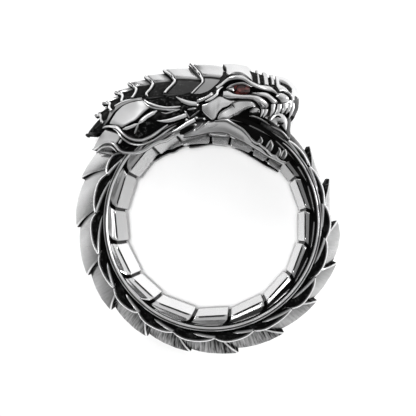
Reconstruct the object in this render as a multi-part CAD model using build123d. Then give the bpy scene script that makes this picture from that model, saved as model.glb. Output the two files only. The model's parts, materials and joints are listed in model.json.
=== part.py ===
from build123d import *
import math
import os

# A dragon ring cast in silver: the dragon lies round the finger and bites its own tail.
# The origin is the centre of the finger hole. +Z runs along the finger, +Y points to the
# top of the head and +X to the side that the snout points to. Both sides are alike.
# Angles are in degrees round the finger hole, from +X towards +Y. A rise is a height above
# the wall of the finger hole. All lengths are in millimetres.

# Finger hole and band
bore_radius = 9.9            # the wall of the finger hole
bore_length = 6.8            # the straight part of that wall
band_width = 8.9             # over both side bevels
bevel_rise = 0.7             # how far a side bevel climbs
plate_edge = 0.1             # the upright edge outside a bevel
belly_plates = 17            # plates round the finger hole
plate_cut_width = 0.2        # the cut between two belly plates
plate_cut_depth = 0.22
first_cut_angle = 128.0      # the first cut behind the jaw

# Groove and rail on each side of the band
groove_width = 0.3
groove_depth = 0.55
rail_height = 0.4

# Back scales and side scales
body_height = 5.4            # the dragon's back above the wall, at the neck
body_half_width = 4.2
side_scale_angle = 19.2
first_side_tip_angle = 155.4
side_scales = 13
neck_side_rise = 3.0         # the upper edge of the side scales at the neck
tail_side_rise = 2.35        # and where the tail meets the mouth
side_scale_lift = 0.45       # how far a side scale stands off

# Head
head_height = 7.9            # the top of the head above the finger hole
head_half_width = 5.3
crest_step = 0.42            # the step down behind each crest plate
relief = 0.35                # how far ridges and folds stand off the head
rib_width = 0.6
tooth_width = 0.75
jaw_height = 0.96            # lower jaw above the finger hole
jaw_width = 1.6

# Eye stones
stone_length = 1.75
stone_height = 1.35
stone_depth = 0.95
table_share = 0.55           # width of the flat table as a share of the stone
girdle_height = 0.12
crown_share = 0.32           # depth of its sloping crown as a share of its depth
stone_angle = 76.2
stone_turn_angle = -9.0      # its long axis slopes towards the snout
stone_rise_share = 0.54      # its place up the head
stone_face_share = 0.90      # how far out the table lies, as a share of the half width
stone_clearance = 0.06
stone_sides = 16


def on_ring(angle, rise, z):
    radius = bore_radius + rise
    turn = math.radians(angle)
    return Vector(radius * math.cos(turn), radius * math.sin(turn), z)


# A closed solid through a row of rings, each with as many corners, with flat triangles
# between them and a flat lid at each end.
def solid_through(rings):
    faces = []
    for ring, following in zip(rings, rings[1:]):
        count = len(ring)
        for index in range(count):
            after = (index + 1) % count
            corners = (ring[index], ring[after], following[after], following[index])
            faces.append(Face(Wire.make_polygon((corners[0], corners[1], corners[2]))))
            faces.append(Face(Wire.make_polygon((corners[0], corners[2], corners[3]))))
    for ring in (rings[0], rings[-1]):
        faces.append(Face(Wire.make_polygon(ring)))
    return Solid(Shell(faces))


# A ring of corners across the dragon's body at one angle, from rows of rise and half width.
def cross_ring(angle, rows):
    near = [on_ring(angle, rise, half) for rise, half in rows]
    far = [on_ring(angle, rise, -half) for rise, half in reversed(rows)]
    return near + far


def both_sides(solid):
    return [solid, solid.mirror(Plane.XY)]


# The plain band: straight wall, bevels, grooves and rails, turned round the finger hole.
def band():
    half_bore = bore_length / 2
    half_band = band_width / 2
    plate_top = bore_radius + bevel_rise + plate_edge
    groove_top = plate_top + groove_width
    outline = (
        (bore_radius, half_bore),
        (bore_radius + bevel_rise, half_band),
        (plate_top, half_band),
        (plate_top, half_band - groove_depth),
        (groove_top, half_band - groove_depth),
        (groove_top, half_band),
        (groove_top + rail_height, half_band),
    )
    mirrored = [(radius, -z) for radius, z in reversed(outline)]
    corners = [Vector(radius, 0, z) for radius, z in list(outline) + mirrored]
    section = Face(Wire.make_polygon(corners))
    return Solid.revolve(section, 360, Axis.Z)


# One cut between two belly plates. It follows the wall and both bevels at one depth.
def plate_cut(angle):
    half_bore = bore_length / 2
    half_band = band_width / 2 + plate_cut_depth
    inside = bore_radius - bevel_rise
    wall = bore_radius + plate_cut_depth
    corners = [
        (inside, half_band),
        (wall + bevel_rise, half_band),
        (wall, half_bore),
        (wall, -half_bore),
        (wall + bevel_rise, -half_band),
        (inside, -half_band),
    ]
    profile = Face(Wire.make_polygon([Vector(radius, 0, z) for radius, z in corners]))
    start = Location((0, -plate_cut_width / 2, 0))
    cut = Solid.extrude(profile.moved(start), Vector(0, plate_cut_width, 0))
    return cut.rotate(Axis.Z, angle)


# The back scales from the neck to the tail, which ends inside the mouth. Each starts low
# under the tip before it and rises to its own free tip. Heights are shares of the body's.
back_scale_rows = (
    # tip angle, start height, middle height, tip height
    (161.4, 0.90, 0.97, 1.03),
    (182.4, 0.93, 0.97, 0.97),
    (203.5, 0.88, 0.94, 0.97),
    (221.5, 0.87, 0.92, 0.935),
    (240.9, 0.81, 0.855, 0.88),
    (261.1, 0.79, 0.835, 0.87),
    (281.8, 0.80, 0.855, 0.91),
    (303.3, 0.80, 0.85, 0.885),
    (323.2, 0.77, 0.825, 0.87),
    (341.7, 0.76, 0.82, 0.87),
    (360.5, 0.77, 0.80, 0.75),
    (379.7, 0.52, 0.62, 0.755),
    (397.2, 0.50, 0.56, 0.72),
    (414.0, 0.52, 0.56, 0.62),
    (430.0, 0.50, 0.52, 0.56),
)
neck_angle = 142.0            # where the first back scale starts, under the crest
scale_overlap_angle = 0.8     # how far a scale starts under the one before it
start_narrowing = 0.93        # width of a scale at its start, as a share of its width at the tip
middle_narrowing = 0.97


# Upper edge of the side scales at an angle. It falls evenly from the neck to the tail.
def side_rise(angle):
    first = back_scale_rows[0][0]
    last = back_scale_rows[-1][0]
    return neck_side_rise + (tail_side_rise - neck_side_rise) * (angle - first) / (last - first)


# Half section of the body: the flank rows follow the side scales' upper edge, and the
# crown rows are shares of the way from there to the top of the back.
flank_rows = ((0.45, 0.84), (0.70, 0.88), (0.95, 0.86))
crown_rows = ((0.05, 0.80), (0.45, 0.62), (0.80, 0.36), (1.0, 0.07))


def back_ring(angle, height, narrowing):
    edge = side_rise(angle)
    top = height * body_height
    side = body_half_width * narrowing
    rows = [(rise * edge, width * side) for rise, width in flank_rows]
    rows += [(edge + (top - edge) * share, width * side) for share, width in crown_rows]
    return cross_ring(angle, rows)


# One back scale with the body under it.
def back_scale(index):
    tip, start_height, middle_height, tip_height = back_scale_rows[index]
    before = back_scale_rows[index - 1][0] if index else neck_angle
    return solid_through([
        back_ring(before - scale_overlap_angle, start_height, start_narrowing),
        back_ring((before + tip) / 2, middle_height, middle_narrowing),
        back_ring(tip, tip_height, 1.0),
    ])


# Outline of a side scale, from its root to its tip: where along the scale, its lower and
# upper edge as shares of the way from the rail to the upper edge, and its lift.
side_scale_rows = (
    # along, lower, upper, lift
    (-1.10, 0.70, 0.84, 0.1),
    (-0.60, 0.16, 1.02, 0.6),
    (-0.25, 0.20, 1.0, 1.0),
    (0.00, 0.62, 0.80, 1.0),
)
side_scale_width_shares = (0.60, 0.88, 0.78)        # its root, lower edge and upper edge


def side_scale(index):
    tip = first_side_tip_angle + index * side_scale_angle
    rail_rise = bevel_rise + plate_edge + groove_width + rail_height
    inside, low_edge, high_edge = (share * body_half_width for share in side_scale_width_shares)
    rings = []
    for along, lower, upper, lift in side_scale_rows:
        angle = tip + along * side_scale_angle
        room = side_rise(angle) - rail_rise
        low_rise = rail_rise + lower * room
        high_rise = rail_rise + upper * room
        stand = side_scale_lift * lift
        rings.append([
            on_ring(angle, low_rise, inside),
            on_ring(angle, low_rise, low_edge + stand),
            on_ring(angle, high_rise, high_edge + stand),
            on_ring(angle, high_rise, inside),
        ])
    return solid_through(rings)


# The skull and neck under all relief, from the neck to the snout. Each row is a section at
# one angle with five corners on each side: a rise and a half width for foot, cheek, brow,
# shoulder and top, as shares of the head's height and half width.
skull_rows = (
    # angle, foot, cheek, brow, shoulder, top
    (158, (0.10, 0.68), (0.27, 0.76), (0.41, 0.68), (0.53, 0.44), (0.60, 0.14)),
    (146, (0.09, 0.72), (0.27, 0.80), (0.44, 0.74), (0.59, 0.48), (0.68, 0.16)),
    (134, (0.08, 0.82), (0.25, 0.85), (0.48, 0.80), (0.68, 0.56), (0.83, 0.18)),
    (120, (0.07, 0.84), (0.23, 0.87), (0.52, 0.84), (0.74, 0.60), (0.90, 0.20)),
    (105, (0.06, 0.84), (0.20, 0.87), (0.46, 0.86), (0.66, 0.64), (0.88, 0.24)),
    (93, (0.05, 0.86), (0.19, 0.92), (0.41, 0.92), (0.62, 0.70), (0.88, 0.28)),
    (86, (0.05, 0.86), (0.17, 0.92), (0.46, 0.92), (0.68, 0.72), (0.93, 0.30)),
    (79, (0.22, 0.78), (0.38, 0.92), (0.55, 0.84), (0.72, 0.82), (0.96, 0.32)),
    (72, (0.34, 0.76), (0.47, 0.88), (0.58, 0.82), (0.68, 0.78), (0.94, 0.30)),
    (66, (0.42, 0.72), (0.51, 0.82), (0.62, 0.76), (0.71, 0.62), (0.95, 0.24)),
    (60, (0.53, 0.62), (0.58, 0.72), (0.70, 0.70), (0.86, 0.56), (0.985, 0.26)),
    (55, (0.63, 0.44), (0.68, 0.52), (0.76, 0.52), (0.84, 0.46), (0.89, 0.20)),
)


def skull():
    rings = []
    for angle, *corners in skull_rows:
        rows = [(rise * head_height, width * head_half_width) for rise, width in corners]
        rings.append(cross_ring(angle, rows))
    return solid_through(rings)


# The closed inside of the mouth, between the palate and the tail.
mouth_rows = (
    # angle, foot rise, foot width, top rise, top width
    (88, 0.06, 0.62, 0.40, 0.62),
    (70, 0.06, 0.60, 0.55, 0.60),
    (57, 0.10, 0.52, 0.80, 0.40),
    (52, 0.42, 0.36, 0.74, 0.34),
)


def mouth_inside():
    rings = []
    for angle, foot, foot_width, top, top_width in mouth_rows:
        rows = (
            (foot * head_height, foot_width * head_half_width),
            (top * head_height, top_width * head_half_width),
        )
        rings.append(cross_ring(angle, rows))
    return solid_through(rings)


# Crest plates along the top of the head, each from its front to its free rear tip: the two
# angles and the rise of the tip as a share of the head's height.
crest_rows = (
    # front, rear, rear rise
    (84.5, 98.4, 0.99),
    (96.0, 107.5, 1.00),
    (105.0, 114.8, 1.03),
    (112.5, 121.3, 1.055),
    (119.0, 126.9, 1.06),
    (124.8, 132.8, 1.045),
    (130.5, 138.0, 0.985),
    (136.0, 142.1, 0.945),
    (140.0, 145.5, 0.91),
)
crest_foot_share = 0.62
crest_narrowing = 0.055       # how much each plate is narrower than the one before it
crest_front_share = 0.96      # width of a plate at its front
# Half section of a crest plate, from its foot to its ridge.
crest_section = (
    # steps below the top, width
    (None, 0.62),
    (1.6, 0.52),
    (0.5, 0.36),
    (0.0, 0.10),
)


def crest_ring(angle, top, share):
    rows = []
    for steps, width in crest_section:
        rise = crest_foot_share * head_height if steps is None else top - steps * crest_step
        rows.append((rise, width * head_half_width * share))
    return cross_ring(angle, rows)


def crest_plate(index):
    front, rear, rear_rise = crest_rows[index]
    top = rear_rise * head_height
    share = 1 - crest_narrowing * index
    return solid_through([
        crest_ring(front, top - crest_step, share * crest_front_share),
        crest_ring(rear, top, share),
    ])


# The cap of the head and the plates down the nose, made as the crest plates are.
nose_rows = (
    # rear, front, rise at the rear, rise at the front, width
    (85.0, 75.5, 0.965, 0.99, 0.90),
    (74.8, 71.6, 0.97, 0.975, 0.81),
    (71.0, 67.5, 0.97, 0.975, 0.72),
    (66.8, 63.5, 0.975, 0.99, 0.63),
    (63.0, 57.0, 0.995, 0.965, 0.54),
)
nose_front_share = 0.94


def nose_plate(row):
    rear, front, rear_rise, front_rise, share = row
    return solid_through([
        crest_ring(rear, rear_rise * head_height, share),
        crest_ring(front, front_rise * head_height, share * nose_front_share),
    ])


# A raised plate on the side of the head. Its outline is a row of corners, each an angle and
# a rise as a share of the head's height. Its edge is bevelled towards the middle.
plate_bevel_share = 0.3


def side_plate(outline, root, face):
    flat = [on_ring(angle, rise * head_height, 0) for angle, rise in outline]
    centre = sum(flat, Vector(0, 0, 0)) / len(flat)
    levels = (
        (0.0, root * head_half_width),
        (0.0, face * head_half_width - relief / 2),
        (plate_bevel_share, face * head_half_width),
    )
    rings = []
    for inward, height in levels:
        rings.append([
            corner + (centre - corner) * inward + Vector(0, 0, height) for corner in flat
        ])
    return solid_through(rings)


# A raised rib along the side of the head, through a row of places: an angle, a rise as a
# share of the head's height, a width as a share of the rib's and how far out its back lies.
rib_back_share = 0.3          # width of its flat back


def side_rib(route, root):
    path = [on_ring(angle, rise * head_height, 0) for angle, rise, width, face in route]
    rings = []
    for index, (angle, rise, width, face) in enumerate(route):
        before = path[max(index - 1, 0)]
        after = path[min(index + 1, len(path) - 1)]
        along = (after - before).normalized()
        across = Vector(-along.Y, along.X, 0) * (rib_width * width / 2)
        back = face * head_half_width
        foot = root * head_half_width
        edge = back - relief / 2
        rings.append([
            path[index] - across + Vector(0, 0, foot),
            path[index] - across + Vector(0, 0, edge),
            path[index] - across * rib_back_share + Vector(0, 0, back),
            path[index] + across * rib_back_share + Vector(0, 0, back),
            path[index] + across + Vector(0, 0, edge),
            path[index] + across + Vector(0, 0, foot),
        ])
    return solid_through(rings)


# Ribs on the side of the head and neck: places as angle, rise, width and face, and the root.
rib_rows = {
    "brow": (
        (95.6, 0.36, 0.8, 0.93),
        (90.0, 0.40, 1.2, 0.97),
        (86.5, 0.52, 1.4, 0.97),
        (81.0, 0.67, 1.5, 0.97),
        (76.0, 0.69, 1.5, 0.96),
        (71.5, 0.64, 1.3, 0.92),
        (66.0, 0.66, 1.1, 0.86),
        (61.0, 0.66, 0.8, 0.78),
    ),
    "lower lid": (
        (84.3, 0.47, 0.6, 0.95),
        (78.7, 0.44, 1.0, 0.97),
        (72.2, 0.49, 1.1, 0.95),
        (67.0, 0.52, 1.2, 0.91),
        (63.4, 0.47, 0.9, 0.86),
    ),
    "second fold": (
        (64.6, 0.63, 0.9, 0.84),
        (60.6, 0.60, 1.2, 0.80),
        (60.9, 0.54, 0.9, 0.78),
    ),
    "third fold": (
        (61.0, 0.70, 0.9, 0.76),
        (57.4, 0.69, 1.2, 0.70),
        (58.2, 0.60, 0.9, 0.70),
    ),
    "nostril": (
        (64.5, 0.80, 1.0, 0.66),
        (60.5, 0.83, 1.4, 0.66),
        (57.2, 0.80, 0.9, 0.56),
    ),
    "upper lip": (
        (79.0, 0.22, 0.8, 0.96),
        (72.5, 0.35, 1.2, 0.95),
        (66.0, 0.43, 1.2, 0.88),
        (60.0, 0.53, 1.1, 0.79),
        (55.0, 0.64, 1.0, 0.62),
    ),
    "first collar": (
        (139.0, 0.64, 0.8, 0.72),
        (135.5, 0.46, 1.0, 0.88),
        (133.5, 0.28, 1.1, 0.92),
        (126.2, 0.17, 1.1, 0.92),
        (113.5, 0.17, 0.8, 0.90),
    ),
    "second collar": (
        (148.0, 0.55, 0.8, 0.70),
        (141.2, 0.44, 1.0, 0.86),
        (141.0, 0.27, 1.1, 0.88),
        (136.0, 0.14, 1.1, 0.87),
        (122.0, 0.08, 0.8, 0.86),
    ),
    "shield band": (
        (118.5, 0.58, 0.9, 0.86),
        (112.0, 0.50, 1.1, 0.92),
        (104.0, 0.40, 0.9, 0.92),
    ),
}
rib_root_share = 0.45

# Plates on the side of the head and neck: outline as angle and rise, then the face.
plate_rows = {
    "neck shield": (
        ((135.5, 0.63), (130.9, 0.66), (125.0, 0.66), (118.8, 0.58), (118.8, 0.49),
         (123.5, 0.45), (128.4, 0.46), (133.0, 0.48)),
        0.92,
    ),
    "cheek": (
        ((96.0, 0.24), (91.0, 0.35), (85.2, 0.44), (78.5, 0.40), (82.5, 0.27), (86.3, 0.15),
         (90.5, 0.12)),
        1.0,
    ),
    "lip plate": (
        ((77.8, 0.36), (72.6, 0.43), (70.4, 0.37), (74.0, 0.28), (79.4, 0.19)),
        0.97,
    ),
    "temple": (
        ((92.0, 0.56), (87.5, 0.66), (84.0, 0.76), (96.0, 0.74), (100.0, 0.60)),
        0.78,
    ),
}
plate_root_share = 0.5


# A horn or tooth: a row of places with a half thickness at each, swept as a square rod that
# stands on its corner.
def horn(route):
    path = [
        on_ring(angle, rise * head_height, face * head_half_width)
        for angle, rise, face, thick in route
    ]
    rings = []
    for index, (angle, rise, face, thick) in enumerate(route):
        before = path[max(index - 1, 0)]
        after = path[min(index + 1, len(path) - 1)]
        along = (after - before).normalized()
        across = along.cross(Vector(0, 0, 1)).normalized()
        outward = across.cross(along).normalized()
        reach = thick * tooth_width / 2
        centre = path[index]
        rings.append([
            centre + across * reach,
            centre + outward * reach,
            centre - across * reach,
            centre - outward * reach,
        ])
    return solid_through(rings)


# Spikes behind the cheek: angle, rise, face and thickness from root to tip.
spike_rows = (
    ((92.0, 0.36, 0.86, 1.8), (98.0, 0.42, 0.94, 1.5), (105.1, 0.50, 0.98, 0.15)),
    ((92.0, 0.20, 0.88, 1.8), (103.0, 0.22, 0.96, 1.4), (117.0, 0.29, 1.0, 0.15)),
    ((91.0, 0.13, 0.86, 1.6), (100.5, 0.12, 0.94, 1.2), (111.5, 0.09, 0.98, 0.15)),
)

# Teeth: the upper ones hang from the lip and the lower ones stand on the jaw.
upper_tooth_rows = (
    # angle and rise at the root, angle and rise at the tip, face, thickness
    (70.5, 0.40, 69.0, 0.30, 0.84, 1.1),
    (67.0, 0.45, 65.5, 0.34, 0.80, 1.0),
    (63.8, 0.50, 61.8, 0.36, 0.76, 1.0),
    (60.8, 0.55, 59.2, 0.39, 0.70, 0.95),
    (57.8, 0.60, 56.8, 0.46, 0.62, 0.9),
    (55.2, 0.65, 54.2, 0.50, 0.50, 0.9),
)
lower_tooth_rows = (
    (62.5, 0.04, 61.5, 0.19, 0.80, 1.1),
    (57.5, 0.04, 58.6, 0.22, 0.78, 1.1),
    (51.5, 0.04, 53.0, 0.24, 0.75, 1.2),
    (45.5, 0.04, 46.8, 0.22, 0.72, 1.1),
    (41.5, 0.04, 43.0, 0.20, 0.70, 0.9),
)
fang_row = ((57.8, 0.56, 0.60, 1.5), (54.2, 0.46, 0.66, 1.8), (51.2, 0.33, 0.62, 0.2))


tooth_tip = 0.15              # thickness of a tooth at its tip


# A tooth bends at two thirds of the way to its tip, and its root sits deeper in the head.
def tooth(row):
    root_angle, root_rise, tip_angle, tip_rise, face, thick = row
    route = (
        (root_angle, root_rise, face - 0.04, thick),
        ((root_angle + 2 * tip_angle) / 3, (root_rise + tip_rise) / 2, face + 0.02, thick * 0.8),
        (tip_angle, tip_rise, face, tooth_tip),
    )
    return horn(route)


# Lower jaw: a bar on each side of the tail, from the corner of the mouth to the chin.
jaw_rows = (
    # angle, height, outer face as a share of the head's half width
    (92.0, 0.97, 0.94),
    (84.0, 1.0, 0.97),
    (75.0, 1.0, 0.95),
    (66.0, 1.0, 0.93),
    (57.0, 1.0, 0.90),
    (48.0, 1.0, 0.86),
    (39.0, 0.97, 0.80),
)
jaw_foot_share = 0.2          # its underside, as a share of its height
jaw_edge_share = 0.6          # where its side stands out furthest


def lower_jaw():
    rings = []
    for angle, height, face in jaw_rows:
        outside = face * head_half_width
        top = height * jaw_height
        rings.append([
            on_ring(angle, jaw_foot_share * jaw_height, outside - jaw_width),
            on_ring(angle, jaw_foot_share * jaw_height, outside - relief),
            on_ring(angle, top * jaw_edge_share, outside),
            on_ring(angle, top, outside - relief),
            on_ring(angle, top, outside - jaw_width),
        ])
    return solid_through(rings)


# An eye stone, its table towards +Z, made larger all round by a margin: table, crown,
# girdle and pavilion.
point_share = 0.12            # width of the small facet at its back


def stone_shape(margin):
    levels = (
        # width, depth
        (table_share, 0.0),
        (1.0, crown_share),
        (1.0, crown_share + girdle_height / stone_depth),
        (point_share, 1.0),
    )
    rings = []
    for width, depth in levels:
        along = width * stone_length / 2 + margin
        across = width * stone_height / 2 + margin
        drop = depth * (stone_depth + 2 * margin) - margin
        ring = []
        for index in range(stone_sides):
            turn = 2 * math.pi * index / stone_sides
            ring.append(Vector(along * math.cos(turn), across * math.sin(turn), -drop))
        rings.append(ring)
    centre = on_ring(stone_angle, stone_rise_share * head_height, stone_face_share * head_half_width)
    return solid_through(rings).rotate(Axis.Z, stone_turn_angle).moved(Location(centre))


# The open socket in front of the stone, an almond between the lids.
socket_rows = (
    # angle, rise
    (83.0, 0.51),
    (80.0, 0.59),
    (76.5, 0.63),
    (73.0, 0.61),
    (70.6, 0.555),
    (73.5, 0.485),
    (77.5, 0.465),
    (81.0, 0.48),
)
socket_depth_share = 0.4      # below the table, as a share of the stone's depth


def eye_socket():
    flat = [on_ring(angle, rise * head_height, 0) for angle, rise in socket_rows]
    floor = stone_face_share * head_half_width - socket_depth_share * stone_depth
    deep = [corner + Vector(0, 0, floor) for corner in flat]
    wide = [corner + Vector(0, 0, head_half_width + relief) for corner in flat]
    return solid_through([deep, wide])


def ring_casting():
    pieces = [skull(), mouth_inside()]
    pieces += [back_scale(index) for index in range(len(back_scale_rows))]
    pieces += [crest_plate(index) for index in range(len(crest_rows))]
    pieces += [nose_plate(row) for row in nose_rows]
    sided = [side_scale(index) for index in range(side_scales)]
    sided += [side_rib(route, rib_root_share) for route in rib_rows.values()]
    sided += [side_plate(outline, plate_root_share, face) for outline, face in plate_rows.values()]
    sided += [horn(route) for route in spike_rows]
    sided += [tooth(row) for row in upper_tooth_rows + lower_tooth_rows]
    sided += [horn(fang_row), lower_jaw()]
    for solid in sided:
        pieces += both_sides(solid)
    cast = band().fuse(*pieces)
    step = 360 / belly_plates
    cuts = [plate_cut(first_cut_angle + index * step) for index in range(belly_plates)]
    hole = Solid.make_cylinder(bore_radius, 4 * head_half_width).moved(
        Location((0, 0, -2 * head_half_width)))
    sockets = both_sides(eye_socket()) + both_sides(stone_shape(stone_clearance))
    return cast.cut(hole, *cuts, *sockets)


os.makedirs("parts", exist_ok=True)
export_step(ring_casting(), "parts/ring_casting.step")
left_stone, right_stone = both_sides(stone_shape(0.0))
export_step(left_stone, "parts/eye_stone_left.step")
export_step(right_stone, "parts/eye_stone_right.step")
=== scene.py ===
import json
import bpy
import numpy as np
from mathutils import Matrix, Vector


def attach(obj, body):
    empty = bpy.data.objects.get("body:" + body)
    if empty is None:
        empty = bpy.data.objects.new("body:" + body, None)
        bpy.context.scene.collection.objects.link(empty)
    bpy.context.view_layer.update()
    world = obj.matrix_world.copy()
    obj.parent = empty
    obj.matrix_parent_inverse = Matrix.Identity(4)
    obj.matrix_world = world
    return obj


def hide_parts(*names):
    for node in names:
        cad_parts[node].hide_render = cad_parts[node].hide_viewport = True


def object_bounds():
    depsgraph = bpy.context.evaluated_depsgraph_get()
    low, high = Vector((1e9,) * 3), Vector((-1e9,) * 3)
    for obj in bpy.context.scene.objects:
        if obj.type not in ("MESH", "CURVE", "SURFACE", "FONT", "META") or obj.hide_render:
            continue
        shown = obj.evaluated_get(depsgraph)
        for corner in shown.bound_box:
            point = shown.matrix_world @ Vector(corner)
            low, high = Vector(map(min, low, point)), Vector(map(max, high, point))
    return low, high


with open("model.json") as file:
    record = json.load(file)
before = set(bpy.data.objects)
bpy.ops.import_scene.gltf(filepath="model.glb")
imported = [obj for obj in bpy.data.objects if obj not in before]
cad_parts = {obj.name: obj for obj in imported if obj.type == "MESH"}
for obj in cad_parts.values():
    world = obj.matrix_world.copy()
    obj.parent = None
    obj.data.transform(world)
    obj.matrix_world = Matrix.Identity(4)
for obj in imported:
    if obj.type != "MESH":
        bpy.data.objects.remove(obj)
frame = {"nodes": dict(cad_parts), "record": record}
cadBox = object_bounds()

# A cast silver ring in the form of a dragon that bites its own tail. +Z runs along the finger
# hole, +Y to the top of the head and +X to the side that the snout points to. Lengths are in mm
# until a mesh is made, and angles are in degrees round the finger hole.
perMetre = 1000.0
boreRadius = frame["record"]["mounts"][0]["dims"]["r_mm"]
print("frame loaded, finger hole radius", boreRadius)


def addObject(name, data):
    thing = bpy.data.objects.new(name, data)
    bpy.context.collection.objects.link(thing)
    return thing


# Camera

view = {
    "eye": (2.9, -1.0, 72.0),      # where the picture was taken from
    "aim": (-0.36, 1.5, 0.0),
    "lens": 56.08,
    "sensor": 36.0,
    "clip": (0.001, 10.0),         # nearest and furthest that it sees, in metres
    "drawnAt": 4.8,                # height of the plane that the head's lines are given on
}
viewPoint = np.array(view["eye"])


def addCamera():
    data = bpy.data.cameras.new("camera")
    data.lens = view["lens"]
    data.sensor_width = view["sensor"]
    data.clip_start, data.clip_end = view["clip"]
    camera = addObject("camera", data)
    camera.location = Vector(view["eye"]) / perMetre
    back = (Vector(view["eye"]) - Vector(view["aim"])).normalized()
    right = Vector((0, 1, 0)).cross(back).normalized()
    camera.rotation_euler = Matrix((right, back.cross(right), back)).transposed().to_euler()
    bpy.context.scene.camera = camera


addCamera()


# Curves

def blend(rows, share):
    # Catmull-Rom curve through rows of numbers, points or whole lines, read at shares of the
    # way from the first row to the last.
    rows = np.asarray(rows, float)
    ends = np.concatenate([[2 * rows[0] - rows[1]], rows, [2 * rows[-1] - rows[-2]]])
    t = np.clip(share, 0, 1) * (len(rows) - 1)
    i = np.minimum(t.astype(int), len(rows) - 2)
    f = (t - i).reshape((-1,) + (1,) * (rows.ndim - 1))
    a, b, c, d = ends[i], ends[i + 1], ends[i + 2], ends[i + 3]
    return b + 0.5 * f * (c - a + f * (2 * a - 5 * b + 4 * c - d + f * (3 * b - 3 * c + d - a)))


def smooth(points, count):
    # The same curve through points, read at even steps of its length.
    curve = blend(points, np.linspace(0, 1, 24 * len(points)))
    run = np.append(0, np.cumsum(np.linalg.norm(np.diff(curve, axis=0), axis=1)))
    steps = np.linspace(0, run[-1], count)
    return np.stack([np.interp(steps, run, column) for column in curve.T], axis=1)


def read(rows, at):
    # Values read off a table of places and values, straight from one row to the next.
    return np.interp(at, *np.transpose(rows))


def ramp(x, slope):
    # 0 before x reaches 0, then rising with the slope to 1.
    return np.clip(x * slope, 0, 1)


def unit(v):
    return v / np.maximum(np.linalg.norm(v, axis=-1, keepdims=True), 1e-9)


def polar(angle, radius, z):
    # Places from their angle round the hole, radius and height.
    a = np.radians(angle)
    return np.stack(np.broadcast_arrays(radius * np.cos(a), radius * np.sin(a), z), axis=-1)


# Skins and pieces

def skin(rings, patina=0.0, grain=0.0, closed=False):
    # Closed skin over a stack of rings: faces run from ring to ring and round each ring, and
    # a fan to its centre closes each end, or the last ring meets the first.
    rings = np.asarray(rings, float)
    rows, cols = rings.shape[:2]
    index = np.arange(rows * cols).reshape(rows, cols)
    if closed:
        index = np.vstack([index, index[:1]])
    after = np.roll(index, -1, axis=1)
    quads = np.stack([index[:-1], after[:-1], after[1:], index[1:]], axis=-1).reshape(-1, 4)
    points = rings.reshape(-1, 3)
    # darkness of each point: the real patina together with painted shade
    tone = np.broadcast_to(patina, (rows, cols)).reshape(-1)
    lines = np.broadcast_to(grain, (rows, cols)).reshape(-1)
    fans = np.zeros((0, 3), int)
    if not closed:
        start = np.full(cols, rows * cols)
        fans = np.vstack([np.stack([start, after[0], index[0]], axis=-1),
                          np.stack([start + 1, index[-1], after[-1]], axis=-1)])
        points = np.vstack([points, rings[0].mean(axis=0), rings[-1].mean(axis=0)])
        tone = np.append(tone, [tone[:cols].mean(), tone[-cols:].mean()])
        lines = np.append(lines, [lines[:cols].mean(), lines[-cols:].mean()])
    halves = np.vstack([quads[:, :3], quads[:, [0, 2, 3]], fans])
    a, b, c = (points[halves[:, k]] for k in range(3))
    if np.sum(a * np.cross(b, c)) < 0:      # turned inside out, so the faces run the other way
        quads = quads[:, ::-1]
        fans = fans[:, ::-1]
    return {"points": points, "quads": quads, "fans": fans, "patina": tone, "grain": lines}


def mirrored(shell):
    # The same skin on the other side of the middle plane.
    return dict(shell, points=shell["points"] * (1, 1, -1),
                quads=shell["quads"][:, ::-1], fans=shell["fans"][:, ::-1])


def bothSides(shells):
    return list(shells) + [mirrored(s) for s in shells]


def makePiece(name, shells, material, crease=40):
    # One mesh of all the skins, in metres, smooth except where faces meet at a sharp angle.
    first = np.cumsum([0] + [len(s["points"]) for s in shells])
    faces = []
    for shell, start in zip(shells, first):
        faces += (shell["quads"] + start).tolist() + (shell["fans"] + start).tolist()
    points = np.vstack([s["points"] for s in shells]) / perMetre
    mesh = bpy.data.meshes.new(name)
    mesh.from_pydata(points.tolist(), [], faces)
    # the patina attribute holds both the oxide's black and painted shade
    for key in ("patina", "grain"):
        values = np.concatenate([s[key] for s in shells]).astype(np.float32)
        mesh.attributes.new(key, "FLOAT", "POINT").data.foreach_set("value", values)
    mesh.polygons.foreach_set("use_smooth", np.ones(len(mesh.polygons), bool))
    mesh.set_sharp_from_angle(angle=np.radians(crease))
    mesh.materials.append(material)
    mesh.update()
    piece = addObject(name, mesh)
    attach(piece, "root")
    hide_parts("ring_casting")
    print(name, len(shells), "skins,", sum(len(f) - 2 for f in faces), "triangles")


def shingle(sections, profile, count=24, outward=False, grain=0.0, ends=None, shade=None, dip=None):
    # A profile of share, height and tone carried over a row of cross curves. At each share of the
    # way from the first curve to the last, a point lies on the smooth surface through the curves,
    # moved by the height along the normal that faces up, or away from the ring. Towards the ends
    # of the curves the height fades. Shade darkens the skin and dip lowers its outside, each a
    # function of the share of the way and of -1 to 1 across.
    lines = np.stack([smooth(s, count) for s in sections])
    across = np.linspace(-1, 1, count)
    share, height, tone = np.transpose(profile)
    surface = blend(lines, share)
    step = blend(lines, share + 0.02) - blend(lines, share - 0.02)
    normal = unit(np.cross(step, np.gradient(surface, axis=1)))
    facing = surface * (1, 1, 4) if outward else (0, 0, 1)
    if np.sum(normal * facing) < 0:
        normal = -normal
    lift = height[:, None] * np.ones(count)
    if ends:                                # share of the curve at each end, and of the height kept there
        fade = np.interp((across + 1) / 2, (0, ends[0], 1 - ends[1], 1), (ends[2], 1, 1, ends[3]))
        lift = np.where(lift > 0, lift * fade, lift)
    if dip:
        lift = lift - np.where(height[:, None] > -0.15, dip(share[:, None], across), 0)
    tone = np.broadcast_to(tone, (count, len(tone)))
    if shade:
        tone = np.maximum(tone, shade(share, across[:, None]))
    return skin((surface + normal * lift[:, :, None]).transpose(1, 0, 2), tone, grain)


def pathFrame(path):
    # Directions sideways and upwards from each point of a path, square to it.
    along = unit(np.gradient(path, axis=0))
    side = unit(np.cross(along, (0, 0, 1)))
    return side, unit(np.cross(side, along))


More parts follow.
